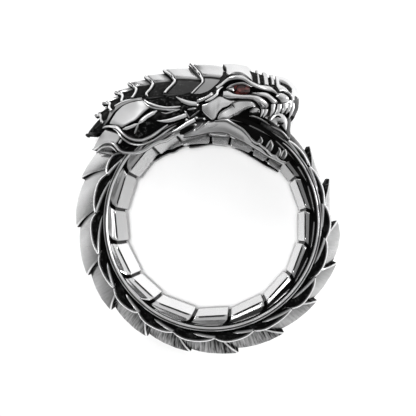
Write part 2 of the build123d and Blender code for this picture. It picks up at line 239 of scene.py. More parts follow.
def wire(path, width, height, ends=(1.0, 1.0), patina=0.0, sink=0.35, count=10):
    # Raised line along a path: a rounded roof on a straight foot. The roof falls with the power
    # 1.5 of the distance from its ridge, and the whole line is drawn in at its ends.
    side, up = pathFrame(path)
    swell = np.interp(np.linspace(0, 1, len(path)), (0, 0.18, 0.82, 1), (ends[0], 1, 1, ends[1]))
    turn = np.linspace(0, np.pi, count)
    across = np.append(np.cos(turn), (-1, 1)) * width / 2
    rise = np.append((1 - np.abs(np.cos(turn)) ** 1.5) * height, (-sink, -sink))
    tone = np.append(np.interp(np.sin(turn), (0, 0.1), (0.7, patina)), (1, 1))
    section = side[:, None] * across[:, None] + up[:, None] * rise[:, None]
    return skin(path[:, None] + section * swell[:, None, None], tone)


# Back scales, from the neck to the tail in the mouth. Each row gives the tip's angle, the height
# of the scale's start, middle and tip above the finger hole, how far its edge runs back from the
# tip to the flank, its tone, which is painted shade, darkest along the bottom of the ring and black
# where the tail lies in the mouth, and its grain.
backScales = {
    "rows": (
        (161.4, 4.86, 5.24, 5.56, 9.0, 0.36, 0.05), (182.4, 5.02, 5.24, 5.24, 9.0, 0.39, 0.05),
        (203.5, 4.75, 5.08, 5.24, 5.5, 0.47, 0.1), (221.5, 4.7, 4.97, 5.05, 5.0, 0.66, 0.2),
        (240.9, 4.37, 4.62, 4.75, 5.0, 0.73, 0.7), (261.1, 4.27, 4.51, 4.7, 8.0, 0.79, 1.0),
        (281.8, 4.32, 4.62, 4.91, 7.0, 0.79, 1.0), (303.3, 4.32, 4.59, 4.78, 9.0, 0.73, 0.9),
        (323.2, 4.16, 4.46, 4.7, 9.0, 0.66, 0.4), (341.7, 4.1, 4.43, 4.7, 7.6, 0.52, 0.2),
        (360.5, 4.16, 4.32, 4.05, 8.0, 0.5, 0.2), (379.7, 2.81, 3.35, 4.08, 11.0, 0.38, 0.3),
        (397.2, 2.7, 3.02, 3.89, 10.0, 0.36, 0.3), (414.0, 2.81, 3.02, 3.35, 8.0, 0.85, 0.1),
        (430.0, 2.7, 2.81, 3.02, 6.0, 1.0, 0.1)),
    "neckAngle": 142.0,        # where the first scale starts
    "startsUnder": 3.0,        # degrees that a scale starts before the edge in front of it
    "shadow": 2.2,             # degrees of black behind that edge
    "fades": 30,               # how fast that black fades
    "stations": (0, 0.35, 0.68, 1),    # shares of the way from start to edge that have a cross curve
    "side": 12.15,             # radius of the scale's lower edge
    "sideDepth": 3.48,         # height of that edge off the middle plane, under the side scales
    "ridge": 0.35,             # half width of the flat back
    "swell": (0.16, 3.4),      # how far the roof swells, and the fall at which its height swells as much
    "taper": ((340, 1.0), (400, 0.9), (430, 0.86)),    # angle, and share of the depth
    # profile from the start to the edge: share, height and what is added to the tone, painted shade
    #     # that is lighter in the middle and darker towards the edge
    "outside": ((0, -0.05, 0), (0.12, 0, 0), (0.2, 0.05, 0), (0.24, 0.06, 0), (0.28, 0.08, 0),
                (0.45, 0.12, -0.1), (0.7, 0.12, 0), (0.9, 0.06, 0.08), (0.96, 0.02, 0.15)),
    # and round the bright edge, back to the start: share, height and tone, black under the edge as
    #     # its painted shadow
    "inside": ((0.98, 0, 0.1), (1, -0.06, 0.1), (1, -0.12, 1), (0.995, -0.42, 1), (0.9, -0.6, 1),
               (0.5, -0.75, 1), (0, -0.6, 1)),
}


def crossArc(top, depth):
    # Half of a scale's cross curve, from the flank to the back: a straight roof that swells by
    # a parabola, with its top edge rounded off.
    b = backScales
    share = np.linspace(0, 1, 13)
    swell = b["swell"][0] * 4 * share * (1 - share)
    fall = depth - b["ridge"]
    radius = b["side"] + (top - b["side"]) * share + swell - np.maximum(share - 0.9, 0)
    return radius, depth - fall * share + swell * fall / b["swell"][1]


def makeBackScales(material):
    b = backScales
    made = []
    front = b["neckAngle"]
    for tip, start, middle, end, back, tone, grain in b["rows"]:
        sections = []
        for share, high in zip(b["stations"], (start, (start + middle) / 2, middle, end)):
            radius, z = crossArc(boreRadius + high, b["sideDepth"] * read(b["taper"], tip))
            reach = (radius - radius[0]) / (radius[-1] - radius[0])
            edge = tip - back * (1 - reach)
            near = polar(front + (edge - front) * share, radius, z)
            sections.append(np.vstack([near, near[::-1] * (1, 1, -1)]))
        black = (b["startsUnder"] + b["shadow"]) / (edge - front).mean() if made else 0
        # painted shade: the row's tone and the tone that the profile adds
        profile = [(u, high, tone + more) for u, high, more in b["outside"]] + list(b["inside"])

        def shade(u, v):
            return ramp(black - u, b["fades"])

        made.append(shingle(sections, profile, 41, True, grain, shade=shade))
        front = edge - b["startsUnder"]
    makePiece("back_scales", made, material)


# Side scales: pointed leaves with a bright rim round a blackened, dished middle. Each row
# gives the tip's angle and radius, the radii of the outer rim's bulge and of the inner rim's
# start, and the share of the way at which the inner rim begins to show.
sideScales = {
    "rows": (
        (155.4, 11.85, 12.45, 11.25, 0.05), (175.8, 12.02, 12.52, 11.25, 0.05), (196.4, 12.2, 12.62, 11.3, 0.1),
        (214.6, 12.27, 12.55, 11.4, 0.35), (232.1, 12.05, 12.72, 11.5, 0.4), (251.6, 12.12, 12.62, 11.55, 0.45),
        (272.5, 12.12, 12.62, 11.6, 0.5), (291.7, 12.22, 12.7, 11.6, 0.5), (312.8, 12.45, 12.68, 11.65, 0.3),
        (331.5, 12.4, 12.95, 11.65, 0.25), (351.4, 12.12, 12.7, 11.65, 0.35), (368.5, 11.92, 12.55, 11.6, 0.25),
        (388.2, 11.85, 12.25, 11.55, 0.3), (405.4, 11.75, 12.05, 11.5, 0.4)),
    "neckAngle": 142.0,        # where the first leaf starts
    "startsUnder": 1.2,        # degrees that a leaf starts before the tip in front of it
    # outer rim: share of the way, and of the bulge
    "outer": ((0, 0), (0.12, 0.62), (0.3, 0.95), (0.5, 1), (0.7, 0.83), (0.87, 0.5), (1, 0)),
    "root": (0.45, 0.35),      # how far outside the inner rim's start its first two places bulge from
    "inner": (0, 0.15, 0.35, 0.55, 0.75, 0.9, 1),      # inner rim: share of the way
    "innerCurve": 1.15,        # power of that share with which it runs out to the tip
    "rim": (0.29, 0.2),        # width and height of the bright rim
    "outerEnds": (0.3, 1.0),   # shares of the rim's width at its start and tip
    "innerEnds": (0.25, 1.0),
    "profile": ((0, -0.8, 1), (0, 0, 1), (0.1, 0.02, 1), (0.3, -0.096, 1), (0.5, -0.16, 1), (0.7, -0.096, 1),
                (0.9, 0.02, 1), (1, 0, 1), (1, -0.8, 1)),
    "depth": 3.95,             # height of the leaf's foot off the middle plane
    "shoulder": 11.6,          # radius outside which the flank falls away
    "fall": (0.35, 1.3),       # how fast it falls, and the power of the distance
    "taper": ((330, 1.0), (380, 0.97), (400, 0.93), (430, 0.8)),
    "tipLift": (0.5, 1.5),     # how much higher the tip lies than the start, and the power of the way
}


def leafLine(front, tip, share, radius):
    # Line along the flank. Its height off the middle plane is full beside the rail, falls with a
    # power of the distance outside the shoulder, tapers where the tail runs into the mouth, and
    # rises towards the tip with a power of the way.
    s = sideScales
    angle = front + (tip - front) * share
    fall = s["fall"][0] * np.maximum(radius - s["shoulder"], 0) ** s["fall"][1]
    z = (s["depth"] - fall) * read(s["taper"], angle) + s["tipLift"][0] * share ** s["tipLift"][1]
    return polar(angle, radius, z)


def makeSideScales(material, rimMaterial):
    s = sideScales
    leaves = []
    rims = []
    front = s["neckAngle"]
    outerShare, swell = np.transpose(s["outer"])
    innerShare = np.array(s["inner"])
    for tip, tipRadius, bulge, inner, shown in s["rows"]:
        outer = tipRadius + (bulge - tipRadius) * swell
        root = inner + np.array(s["root"])
        outer[:2] = root + (bulge - root) * swell[:2]
        outerLine = leafLine(front, tip, outerShare, outer)
        innerRadius = inner + (tipRadius - inner) * innerShare ** s["innerCurve"]
        innerLine = leafLine(front, tip, innerShare, innerRadius)
        leaves.append(shingle((innerLine, outerLine), s["profile"], 30))
        rims.append(wire(smooth(outerLine, 40), *s["rim"], s["outerEnds"]))
        rims.append(wire(smooth(innerLine, 60)[int(60 * shown):], *s["rim"], s["innerEnds"]))
        front = tip - s["startsUnder"]
    makePiece("side_scales", bothSides(leaves), material)
    makePiece("side_scale_rims", bothSides(rims), rimMaterial)


# Dark core of the body, under the scales from the neck to the tail in the mouth.
bodyCore = {
    "from": 136.0, "to": 428.0, "steps": 180,
    # half section: radius and height off the middle plane, for a body whose top is at fullTop
    "rows": ((10.9, 3.9), (11.5, 3.8), (12.1, 3.45), (12.9, 2.65), (13.6, 1.6), (13.9, 0)),
    "fullTop": 14.0,
    "top": ((142, 13.9), (340, 13.5), (362, 13.3), (375, 12.4), (430, 12.3)),     # angle and radius
    "taper": ((330, 1.0), (380, 0.95), (400, 0.9), (430, 0.78)),
}


def makeBodyCore(material):
    # The half section and its mirror image carried round the hole, stretched to the top's
    # radius and narrowed by the taper.
    c = bodyCore
    angles = np.linspace(c["from"], c["to"], c["steps"])[:, None]
    half = smooth(c["rows"], 16)
    radius, z = np.vstack([half, half[::-1][1:] * (1, -1)]).T
    foot = c["rows"][0][0]
    radius = foot + (radius - foot) * (read(c["top"], angles) - foot) / (c["fullTop"] - foot)
    makePiece("body_core", [skin(polar(angles, radius, z * read(c["taper"], angles)), 1.0)], material)


# Finger band: one belly plate after another, with a flat inner face, an engraved line
# between its wall and its bevel, and a thin bright lip at its start.
band = {
    # angles where one plate ends and the next starts, and the tones of each plate's face and bevels,
    #     # all painted light: faces lighter or darker by how the light falls round the ring, bevels black
    #     # where they reflect the dark side of the room
    "ends": (128.0, 149.6, 172.6, 193.1, 215.2, 235.0, 260.2, 281.7, 304.8, 326.4, 347.1, 367.1, 387.2,
             399.0, 418.0, 435.0, 453.0, 471.5, 488.0),
    "tones": (0.5, 0.55, 0.55, 0.02, 0.06, 0.16, 0.36, 0.4, 0.36, 0.34, 0.36, 0.38, 0.62, 0.7, 0.5,
              0.5, 0.5, 0.45),
    "bevelTones": (0.5, 0.5, 0.3, 0.0, 0.0, 0.1, 0.6, 0.97, 1.0, 1.0, 1.0, 1.0, 1.0, 1.0, 1.0, 1.0,
                   1.0, 1.0),
    "gap": 1.15,               # degrees between two plates
    "wallHalf": 3.4,
    "bevelRise": 0.92,
    "bevelHalf": 4.31,
    "outer": 10.9,
    "line": 0.14,              # how far inside the wall's edge the engraved line's floor lies
    "flush": (0.04, 0.09),     # place outside the wall's edge, and height, where that floor ends flush
    "step": 0.16,              # how much higher a plate's trailing end stands than the next one's start
    "stands": 0.05,            # how far the middle of a plate's face stands off the hole's wall
    "most": 0.3,               # and the most that any of the face may
    # share of the plate's length, and how far it is sunk, or how far its engraved line shows there
    "sinks": ((0, 0.6), (0.004, 0.1), (0.02, 0.02), (0.05, 0), (0.95, 0), (0.985, 0.06), (1, 0.6)),
    "lineShows": ((0.1, 0), (0.14, 1), (0.86, 1), (0.92, 0)),
    # angle, and the degrees that the bevel leans back
    "lean": ((128, 7.0), (215, 6.0), (262, 3.5), (330, 7.0), (400, 7.0)),
    # black floor under the plates: radius and height off the middle plane
    "floor": ((10.25, 3.1), (10.72, 3.2), (10.78, 4.15), (11.35, 4.15)),
}


def makeBellyPlates(material):
    # A cross profile of height off the middle plane, rise over the hole's wall and patina is
    #     # carried round the hole. Each plate's face is a chord of the hole, its ends sink and are painted
    #     # black as the shadow of the step, its bevels lean back, and the line beside the wall fades out
    #     # before the ends. Each face's tone and each bevel's dark are painted shade and reflection.
    b = band
    h = b["wallHalf"]
    lineAt = h - b["line"]
    top = b["bevelHalf"]
    rise = b["bevelRise"]
    half = np.array([
        (0, 0, 0), (h * 0.5, 0, 0), (h * 0.9, 0, 0), (h - 0.03, 0, 0), (h, 0.02, 0),
        (lineAt, 0.06, 1), (lineAt, 0.13, 1), (h + 0.05, 0.17, 0), (h + 0.1, 0.25, 0),
        (h + 0.19, 0.45, 0), (h + 0.23, 0.49, 0), (h + 0.55, 0.68, 0), (h + 0.8, 0.82, 0),
        (top - 0.03, rise - 0.03, 0), (top, rise, 0.2), (top, rise + 0.15, 1),
        (top - 0.5, rise + 0.2, 1), (top - 0.9, rise + 0.2, 1)])
    across, up, patina = np.vstack([half[::-1] * (-1, 1, 1), half[1:]]).T
    off = np.abs(across)
    groove = (patina > 0.5) & (off < h)
    onBevel = (off > h + 0.21) & (off < top - 0.05)
    share = np.array((0, 0.004, 0.02, 0.05, 0.1, 0.14, 0.2, 0.35, 0.5, 0.65, 0.8, 0.86, 0.92, 0.96, 0.985, 1))
    sunk = read(b["sinks"], share)[:, None]
    shown = read(b["lineShows"], share)[:, None]
    flushOff, flushUp = h + b["flush"][0], b["flush"][1]
    raised = np.where(groove, flushUp + (up - flushUp) * shown, up)
    z = np.where(groove, flushOff + (off - flushOff) * shown, off) - sunk * (off > h) * 0.35
    made = []
    for start, end, tone, bevelPaintedShade in zip(b["ends"][:-1], b["ends"][1:], b["tones"], b["bevelTones"]):
        middle = (start + end) / 2
        angle = start + b["gap"] / 2 + (end - start - b["gap"]) * share
        chord = boreRadius / np.cos(np.radians(angle - middle)) - boreRadius
        chord = np.clip(chord - b["step"] * (share - 0.5) + b["stands"], 0, b["most"])[:, None]
        # painted shade: the face's tone, black sunk ends as the step's shadow, and the bevel's dark reflection
        dark = np.where(groove, patina * shown, np.maximum(patina, tone))
        dark = np.maximum(np.maximum(dark, sunk > 0.05), onBevel * bevelPaintedShade)
        lean = read(b["lean"], middle) * np.clip((off - h) / (top - h), 0, 1)
        radius = np.minimum(boreRadius + chord + raised + sunk * 0.55, b["outer"])
        made.append(skin(polar(angle[:, None] - lean, radius, z * np.sign(across)), dark))
    makePiece("belly_plates", made, material, crease=50)


def makeBandCore(material):
    # Black floor of the band under the plates: a closed section carried all the way round.
    half = np.array(band["floor"])
    radius, z = np.vstack([half, half[::-1] * (1, -1)]).T
    angles = np.linspace(0, 360, 240, endpoint=False)[:, None]
    makePiece("band_core", [skin(polar(angles, radius, z), 1.0, closed=True)], material)


# Rail: a thick and a thin bright line side by side, all along the body.
rail = {
    # angle and the thick line's radius
    "rows": ((140.0, 11.0), (150.0, 10.93), (180.0, 10.85), (215.0, 10.98), (245.0, 11.1), (270.0, 11.15),
             (300.0, 11.2), (330.0, 11.25), (360.0, 11.32), (390.0, 11.32), (405.0, 11.25), (418.0, 11.0),
             (431.0, 10.65)),
    "height": 4.3,
    "thick": (0.26, 0.13),     # width and height
    "thin": (0.14, 0.08),
    "apart": 0.29,
    "lower": 0.08,             # how much lower the thin line lies
    "taper": ((330, 1.0), (380, 0.98), (400, 0.96), (430, 0.86)),
}


def makeRails(material):
    r = rail
    angles = np.linspace(r["rows"][0][0], r["rows"][-1][0], 260)
    radius = read(r["rows"], angles)
    z = r["height"] * read(r["taper"], angles)
    thick = wire(polar(angles, radius, z), *r["thick"], sink=0.6)
    thin = wire(polar(angles, radius + r["apart"], z - r["lower"]), *r["thin"], sink=0.5)
    makePiece("rails", bothSides([thick, thin]), material)


# Materials

def operators(operation):
    # An operator and its reflected form, each of which adds one Math node.
    return (lambda self, other: self.join(operation, self, other),
            lambda self, other: self.join(operation, other, self))


class Value:
    # A shader value whose arithmetic adds Math nodes.
    __add__, __radd__ = operators("ADD")
    __sub__, __rsub__ = operators("SUBTRACT")
    __mul__, __rmul__ = operators("MULTIPLY")
    __truediv__, __rtruediv__ = operators("DIVIDE")
    __pow__, __rpow__ = operators("POWER")

    def __init__(self, finish, socket):
        self.finish = finish
        self.socket = socket

    def join(self, operation, *pair):
        return self.finish.add("ShaderNodeMath", {"operation": operation}, dict(enumerate(pair)))

    def above(self, other):
        return self.join("MAXIMUM", self, other)

    def held(self):
        return self.finish.add("ShaderNodeClamp", {}, {0: self})


class Finish:
    # A material's node tree, or the world's, with one way to add any node.
    def __init__(self, owner):
        owner.use_nodes = True
        self.owner = owner
        self.tree = owner.node_tree

    def put(self, socket, value):
        if isinstance(value, Value):
            self.tree.links.new(value.socket, socket)
        else:
            socket.default_value = value

    def add(self, kind, settings, sockets, *outs):
        node = self.tree.nodes.new(kind)
        for key, value in settings.items():
            if key == "stops":
                elements = node.color_ramp.elements
                while len(elements) < len(value):
                    elements.new(0.5)
                for stop, (place, tone) in zip(elements, value):
                    stop.position = place
                    stop.color = (tone, tone, tone, 1)
            else:
                setattr(node, key, value)
        for key, value in sockets.items():
            self.put(node.inputs[key], value)
        values = [Value(self, node.outputs[out]) for out in outs or (0,)]
        return values if len(values) > 1 else values[0]

    def place(self, output="Object"):
        return self.add("ShaderNodeTexCoord", {}, {}, output)

    def split(self, vector):
        return self.add("ShaderNodeSeparateXYZ", {}, {0: vector}, 0, 1, 2)

    def noise(self, place, scale, detail, rough):
        return self.add("ShaderNodeTexNoise", {},
                        {"Vector": place, "Scale": scale, "Detail": detail, "Roughness": rough})

    def mix(self, share, first, second):
        sockets = {"Factor": share, "A": first, "B": second}
        return self.add("ShaderNodeMix", {"data_type": "RGBA"}, sockets, "Result")

    def end(self, node, inputs):
        for key, value in inputs.items():
            self.put(self.tree.nodes[node].inputs[key], value)
        return self.owner


silverLook = {
    "bright": (0.87, 0.87, 0.875, 1),
    "black": (0.002, 0.002, 0.002, 1),
    "rough": 0.13,
    "blackRough": 0.42,
    "specular": 0.02,
    "hollow": (0.7, 1.6),      # mm within which walls make a hollow, and the power of its openness
    "stain": (1.25, 0.3, 0.35),    # gain and cut of the hollows' black, and what the clouds add
    "clouds": 900.0,           # scales of the noise, to the metre
    "specks": 2600.0,
    "streaks": 5600.0,
    "streakRadius": 13.5,      # mm, where the streaks keep their true width
    "drawnOut": (0.05, 0.08),  # what is left of the streaks' noise along the radius and the finger
    "streakGain": 1.15,
    "spots": ((0.56, 6.0, 0.8), (0.56, 5.0, 0.4)),     # cut, gain and share of bright specks and clouds
    "stir": (0.1, 0.12),       # how far the clouds and the grain change the roughness
    "metal": (0.55, 2.3, 0.97),    # black from which the metal fades, how fast and how far
    "bump": 0.00006,           # metres
    "bumps": (0.6, 0.05),      # shares of the streaks and specks in the bump
}


def silverFinish(name, mottle=0.0, gloss=silverLook["rough"]):
    # Polished silver, blackened where a hollow says so and where the patina attribute does, which holds
    # both the oxide's black and painted shade, with a fine wavering gloss, and streaks across the
    # scales that carry the grain attribute.
    look = silverLook
    f = Finish(bpy.data.materials.new(name))
    place = f.place()
    x, y, z = f.split(place)
    patina = f.add("ShaderNodeAttribute", {"attribute_name": "patina"}, {}, "Fac")
    grain = f.add("ShaderNodeAttribute", {"attribute_name": "grain"}, {}, "Fac")
    within, power = look["hollow"]
    clear = f.add("ShaderNodeAmbientOcclusion", {"samples": 8, "only_local": False},
                  {"Distance": within / perMetre}, "AO")
    cloud = f.noise(place, look["clouds"], 3.0, 0.55)
    speck = f.noise(place, look["specks"], 2.0, 0.6)
    gain, cut, cloudy = look["stain"]
    stain = ((1 - clear ** power) * gain - cut + (cloud - 0.5) * cloudy).held()
    # streaks run out from the finger hole: noise drawn out along the radius
    around = f.add("ShaderNodeMath", {"operation": "ARCTAN2"}, {0: y, 1: x}) * (look["streakRadius"] / perMetre)
    radius = (x * x + y * y) ** 0.5
    outwards, upwards = look["drawnOut"]
    spread = f.add("ShaderNodeCombineXYZ", {}, {0: around, 1: radius * outwards, 2: z * upwards})
    streak = f.noise(spread, look["streaks"], 2.0, 0.6)
    dark = (patina.above(stain) + (streak - 0.5) * grain * look["streakGain"]).held()
    if mottle:
        specks, clouds = (((noise - cut) * gain).held() * share
                          for noise, (cut, gain, share) in zip((speck, cloud), look["spots"]))
        dark = (dark - (specks + clouds) * mottle).held()
    byCloud, byGrain = look["stir"]
    rough = gloss + (cloud - 0.5) * byCloud + dark * (look["blackRough"] - gloss) + grain * byGrain
    ofStreak, ofSpeck = look["bumps"]
    height = streak * grain * ofStreak + speck * ofSpeck
    fades, fast, far = look["metal"]
    return f.end("Principled BSDF", {
        "Base Color": f.mix(dark, look["bright"], look["black"]),
        "Roughness": rough.held(),
        "Metallic": 1 - ((dark - fades) * fast).held() * far,
        "Normal": f.add("ShaderNodeBump", {}, {"Strength": 0.5, "Distance": look["bump"], "Height": height}),
        "Specular IOR Level": look["specular"]})


stoneLook = {
    "dark": (0.006, 0.001, 0.001, 1),
    "light": (0.11, 0.03, 0.027, 1),
    "cells": 3600.0,           # scale, to the metre
    "contrast": (2.8, 0.95),   # gain of the cells' tones, and what is taken off them
    "rough": (0.06, 0.08),     # least roughness, and what the cells add to it
    "coat": (0.4, 0.03),       # weight and roughness
    "bends": 1.5,              # refractive index
}


def stoneFinish(name):
    # Deep red glass with a clear coat; cells of dark and lighter red are painted reflections of the facets
    # behind.
    look = stoneLook
    f = Finish(bpy.data.materials.new(name))
    # cells painted as the facets' reflections
    cell = f.add("ShaderNodeTexVoronoi", {}, {"Vector": f.place(), "Scale": look["cells"]}, "Color")
    gain, cut = look["contrast"]
    least, added = look["rough"]
    weight, coatRough = look["coat"]
    return f.end("Principled BSDF", {
        "Base Color": f.mix((cell * gain - cut).held(), look["dark"], look["light"]),
        "Roughness": least + cell * added,
        "Coat Weight": weight, "Coat Roughness": coatRough, "IOR": look["bends"]})


silver = silverFinish("blackened_silver")
leafSilver = silverFinish("mottled_black_silver", mottle=0.035)
mottledSilver = silverFinish("clouded_black_silver", mottle=0.07)
satin = silverFinish("satin_silver", gloss=0.24)
brushed = silverFinish("brushed_silver", gloss=0.6)
lineSilver = silverFinish("bright_line_silver", gloss=0.3)
redStone = stoneFinish("red_stone")
for name in ("eye_stone_left", "eye_stone_right"):
    for slot in frame["nodes"][name].material_slots:
        slot.material = redStone
print("materials made")

makeBodyCore(silver)
makeBandCore(silver)
makeBellyPlates(silver)
makeBackScales(silver)
makeSideScales(leafSilver, lineSilver)
makeRails(lineSilver)


# Head. Its side is one smooth surface through these rows, from the neck forward: an angle and
# the foot, cheek, brow, shoulder and top as height above the hole and off the middle plane.
head = {
    "rows": (
        (158.0, (0.79, 3.6), (2.13, 4.03), (3.24, 3.6), (4.19, 2.33), (4.74, 0.74)),
        (146.0, (0.71, 3.82), (2.13, 4.24), (3.48, 3.92), (4.66, 2.54), (5.37, 0.85)),
        (134.0, (0.63, 4.35), (1.98, 4.51), (3.79, 4.24), (5.37, 2.97), (6.56, 0.95)),
        (120.0, (0.55, 4.45), (1.82, 4.61), (4.11, 4.45), (5.85, 3.18), (7.11, 1.06)),
        (105.0, (0.47, 4.45), (1.58, 4.61), (3.63, 4.56), (5.21, 3.39), (6.95, 1.27)),
        (93.0, (0.4, 4.56), (1.5, 4.88), (3.24, 4.88), (4.9, 3.71), (6.95, 1.48)),
        (86.0, (0.4, 4.56), (1.34, 4.88), (3.63, 4.88), (5.37, 3.82), (7.35, 1.59)),
        (79.0, (1.74, 4.13), (3.0, 4.88), (4.35, 4.45), (5.69, 4.35), (7.58, 1.7)),
        (72.0, (2.69, 4.03), (3.71, 4.66), (4.58, 4.35), (5.37, 4.13), (7.43, 1.59)),
        (66.0, (3.32, 3.82), (4.03, 4.35), (4.9, 4.03), (5.61, 3.29), (7.51, 1.27)),
        (60.0, (4.19, 3.29), (4.58, 3.82), (5.53, 3.71), (6.79, 2.97), (7.78, 1.38)),
        (55.0, (4.98, 2.33), (5.37, 2.76), (6.0, 2.76), (6.64, 2.44), (7.03, 1.06))),
    # how far the dark skull lies under the plates at each of the five places: inwards and sideways
    "sunk": ((0, 0.165, 0.33, 0.66, 0.88), (0.55, 0.55, 0.55, 0.715, 0.55)),
    # angle, and share of the way inwards: less where the snout's plates lie close
    "shallow": ((60, 0.3), (76, 0.3), (88, 1.0)),
    "endsFrom": 134.0,         # angle from which the skull is drawn in to end at these angles
    "ends": (141.0, 150.0),
    # eye socket: its place, its length to its height, the height of its floor off the middle
    # plane, its reach, and the share of the reach at which it ends
    "socket": ((3.4, 13.76), 1.3, 3.75, 1.15, 1.6),
    "squeezeFrom": 11.0,       # below this radius the mouth and jaw are drawn in towards it
    "squeeze": 0.8,            # what is left of the distance to it
    "squeezeFades": ((25, 0), (33, 1), (122, 1), (140, 0)),    # angle, and share of that squeeze
    "sheetStiffness": 0.02,    # keeps the sheet that the head's lines lie on smooth
}


def headTable():
    # The head's rows as angles, radii and heights off the middle plane.
    return np.array([[(angle, boreRadius + up, off) for up, off in row] for angle, *row in head["rows"]])


def makeSkull(material):
    # Smooth surface through the rows, sunk under the plates, with the other side its mirror
    # image. Its neck end is drawn in to the last collar, sooner beside the hole than on the back,
    # and round the eye it is pressed in to a flat floor.
    h = head
    table = headTable()
    inwards, sideways = h["sunk"]
    table[..., 1] -= inwards * read(h["shallow"], table[:, :1, 0])
    table[..., 2] -= sideways
    half = blend([smooth(row, 22) for row in table], np.linspace(0, 1, 60))
    start = h["endsFrom"]
    share = (np.linspace(*h["ends"], 22) - start) / (h["rows"][0][0] - start)
    half[..., 0] = np.minimum(half[..., 0], start) + np.maximum(half[..., 0] - start, 0) * share
    full = np.concatenate([half, (half * (1, 1, -1))[:, ::-1]], axis=1)
    rings = polar(full[..., 0], full[..., 1], full[..., 2])
    (x, y), long, floor, reach, ends = h["socket"]
    apart = np.hypot((rings[..., 0] - x) / long, rings[..., 1] - y)
    off = np.abs(rings[..., 2])
    off = off - np.maximum(off - floor, 0) * np.clip(ends - apart / reach, 0, 1)
    rings[..., 2] = np.sign(rings[..., 2]) * off
    makePiece("skull", [skin(rings, 1.0)], material)


makeSkull(mottledSilver)


# The head's lines are drawn as the picture shows them, on the plane that the camera's
# dictionary names, and then put at their real height.

def toDrawn(real):
    # A real place carried along its line of sight to where it is drawn, with its height kept.
    shrink = (viewPoint[2] - view["drawnAt"]) / (viewPoint[2] - real[..., 2:])
    return np.concatenate([viewPoint[:2] + (real[..., :2] - viewPoint[:2]) * shrink, real[..., 2:]], axis=-1)


def toReal(drawn):
    # A drawn place carried along its line of sight to its own height off the middle plane.
    drawn = np.asarray(drawn, float)
    grow = (viewPoint[2] - drawn[..., 2:]) / (viewPoint[2] - view["drawnAt"])
    return np.concatenate([viewPoint[:2] + (drawn[..., :2] - viewPoint[:2]) * grow, drawn[..., 2:]], axis=-1)


def sheetTerms(xy, places):
    # Thin plate spline's terms: the square of each distance times its logarithm, 1, x and y.
    apart = np.linalg.norm(xy[..., None, :] - places, axis=-1)
    bent = apart ** 2 * np.log(np.maximum(apart, 1e-6))
    return np.concatenate([bent, np.ones(xy.shape[:-1] + (1,)), xy], axis=-1)


def solveSheet(places, heights):
    # Weights of the terms that make the smoothest sheet through the heights at the places.
    n = len(places)
    terms = sheetTerms(places, places)
    system = np.vstack([terms, np.hstack([terms[:, n:].T, np.zeros((3, 3))])])
    system[:n, :n] += head["sheetStiffness"] * np.eye(n)
    return np.linalg.solve(system, np.append(heights, (0, 0, 0)))


headPlaces = toDrawn(polar(*headTable().reshape(-1, 3).T))
sheetWeights = solveSheet(headPlaces[:, :2], headPlaces[:, 2])


def squeezed(xy):
    # Mouth and jaw drawn in from the hole, so that it stays round.
    radius = np.hypot(xy[:, 0], xy[:, 1])
    angle = np.degrees(np.arctan2(xy[:, 1], xy[:, 0]))
    inside = np.maximum(head["squeezeFrom"] - radius, 0)
    new = radius + inside * (1 - head["squeeze"]) * read(head["squeezeFades"], angle)
    return xy * (new / radius)[:, None]


def drawn(points, z=None, count=36, lift=0.0):
    # Smooth line through drawn points, on the head's side or at a given height off the middle plane.
    path = squeezed(smooth(points, count))
    high = sheetTerms(path, headPlaces[:, :2]) @ sheetWeights if z is None else np.full(count, z)
    return toReal(np.column_stack([path, high + lift]))


# share of the way across a strip, height and tone
profiles = {
    "ridge": ((0, -0.7, 1), (0, -0.05, 1), (0.08, 0.4, 0.2), (0.3, 0.88, 0), (0.5, 1, 0), (0.7, 0.88, 0),
              (0.92, 0.4, 0.2), (1, -0.05, 1), (1, -0.7, 1)),
    "plate": ((0, -0.7, 1), (0, -0.02, 1), (0.05, 0.7, 0.2), (0.12, 0.94, 0), (0.5, 1, 0), (0.88, 0.94, 0),
              (0.95, 0.7, 0.2), (1, -0.02, 1), (1, -0.7, 1)),
}


def strip(lower, upper, height, profile="ridge", z=None, lift=0.0, ends=(0.15, 0.15, 0.4, 0.4),
          count=36, patina=0.0):
    # Raised strip between two drawn lines: the profile, stretched to the height, carried along them.
    share, rise, tone = np.transpose(profiles[profile])
    rows = np.column_stack([share, np.where(rise > 0, rise * height, rise), np.maximum(tone, patina)])
    return shingle((drawn(lower, z, count, lift), drawn(upper, z, count, lift)), rows, count, ends=ends)


def line(points, width, height, z=None, lift=0.0, ends=(0.3, 0.3), count=36, patina=0.0):
    # Thin raised line along drawn points.
    return wire(drawn(points, z, count, lift), width, height, ends, patina)


def horn(points, widths, z, patina=0.0, flat=0.6, count=26):
    # Tapered tooth or spike along drawn points: a flattened ellipse carried along them, as wide
    # as a table of widths says.
    path = drawn(points, z, count)
    width = np.interp(np.linspace(0, 1, count), np.linspace(0, 1, len(widths)), widths)
    side, up = pathFrame(path)
    turn = np.linspace(0, 2 * np.pi, 14, endpoint=False)[:, None]
    section = side[:, None] * np.cos(turn) + up[:, None] * np.sin(turn) * flat
    return skin(path[:, None] + section * (width / 2)[:, None, None], patina)


def fromTable(shape, rows):
    # The shape made from each row, which ends in a dictionary of what differs, on both sides.
    return bothSides([shape(*row[:-1], **row[-1]) for row in rows])


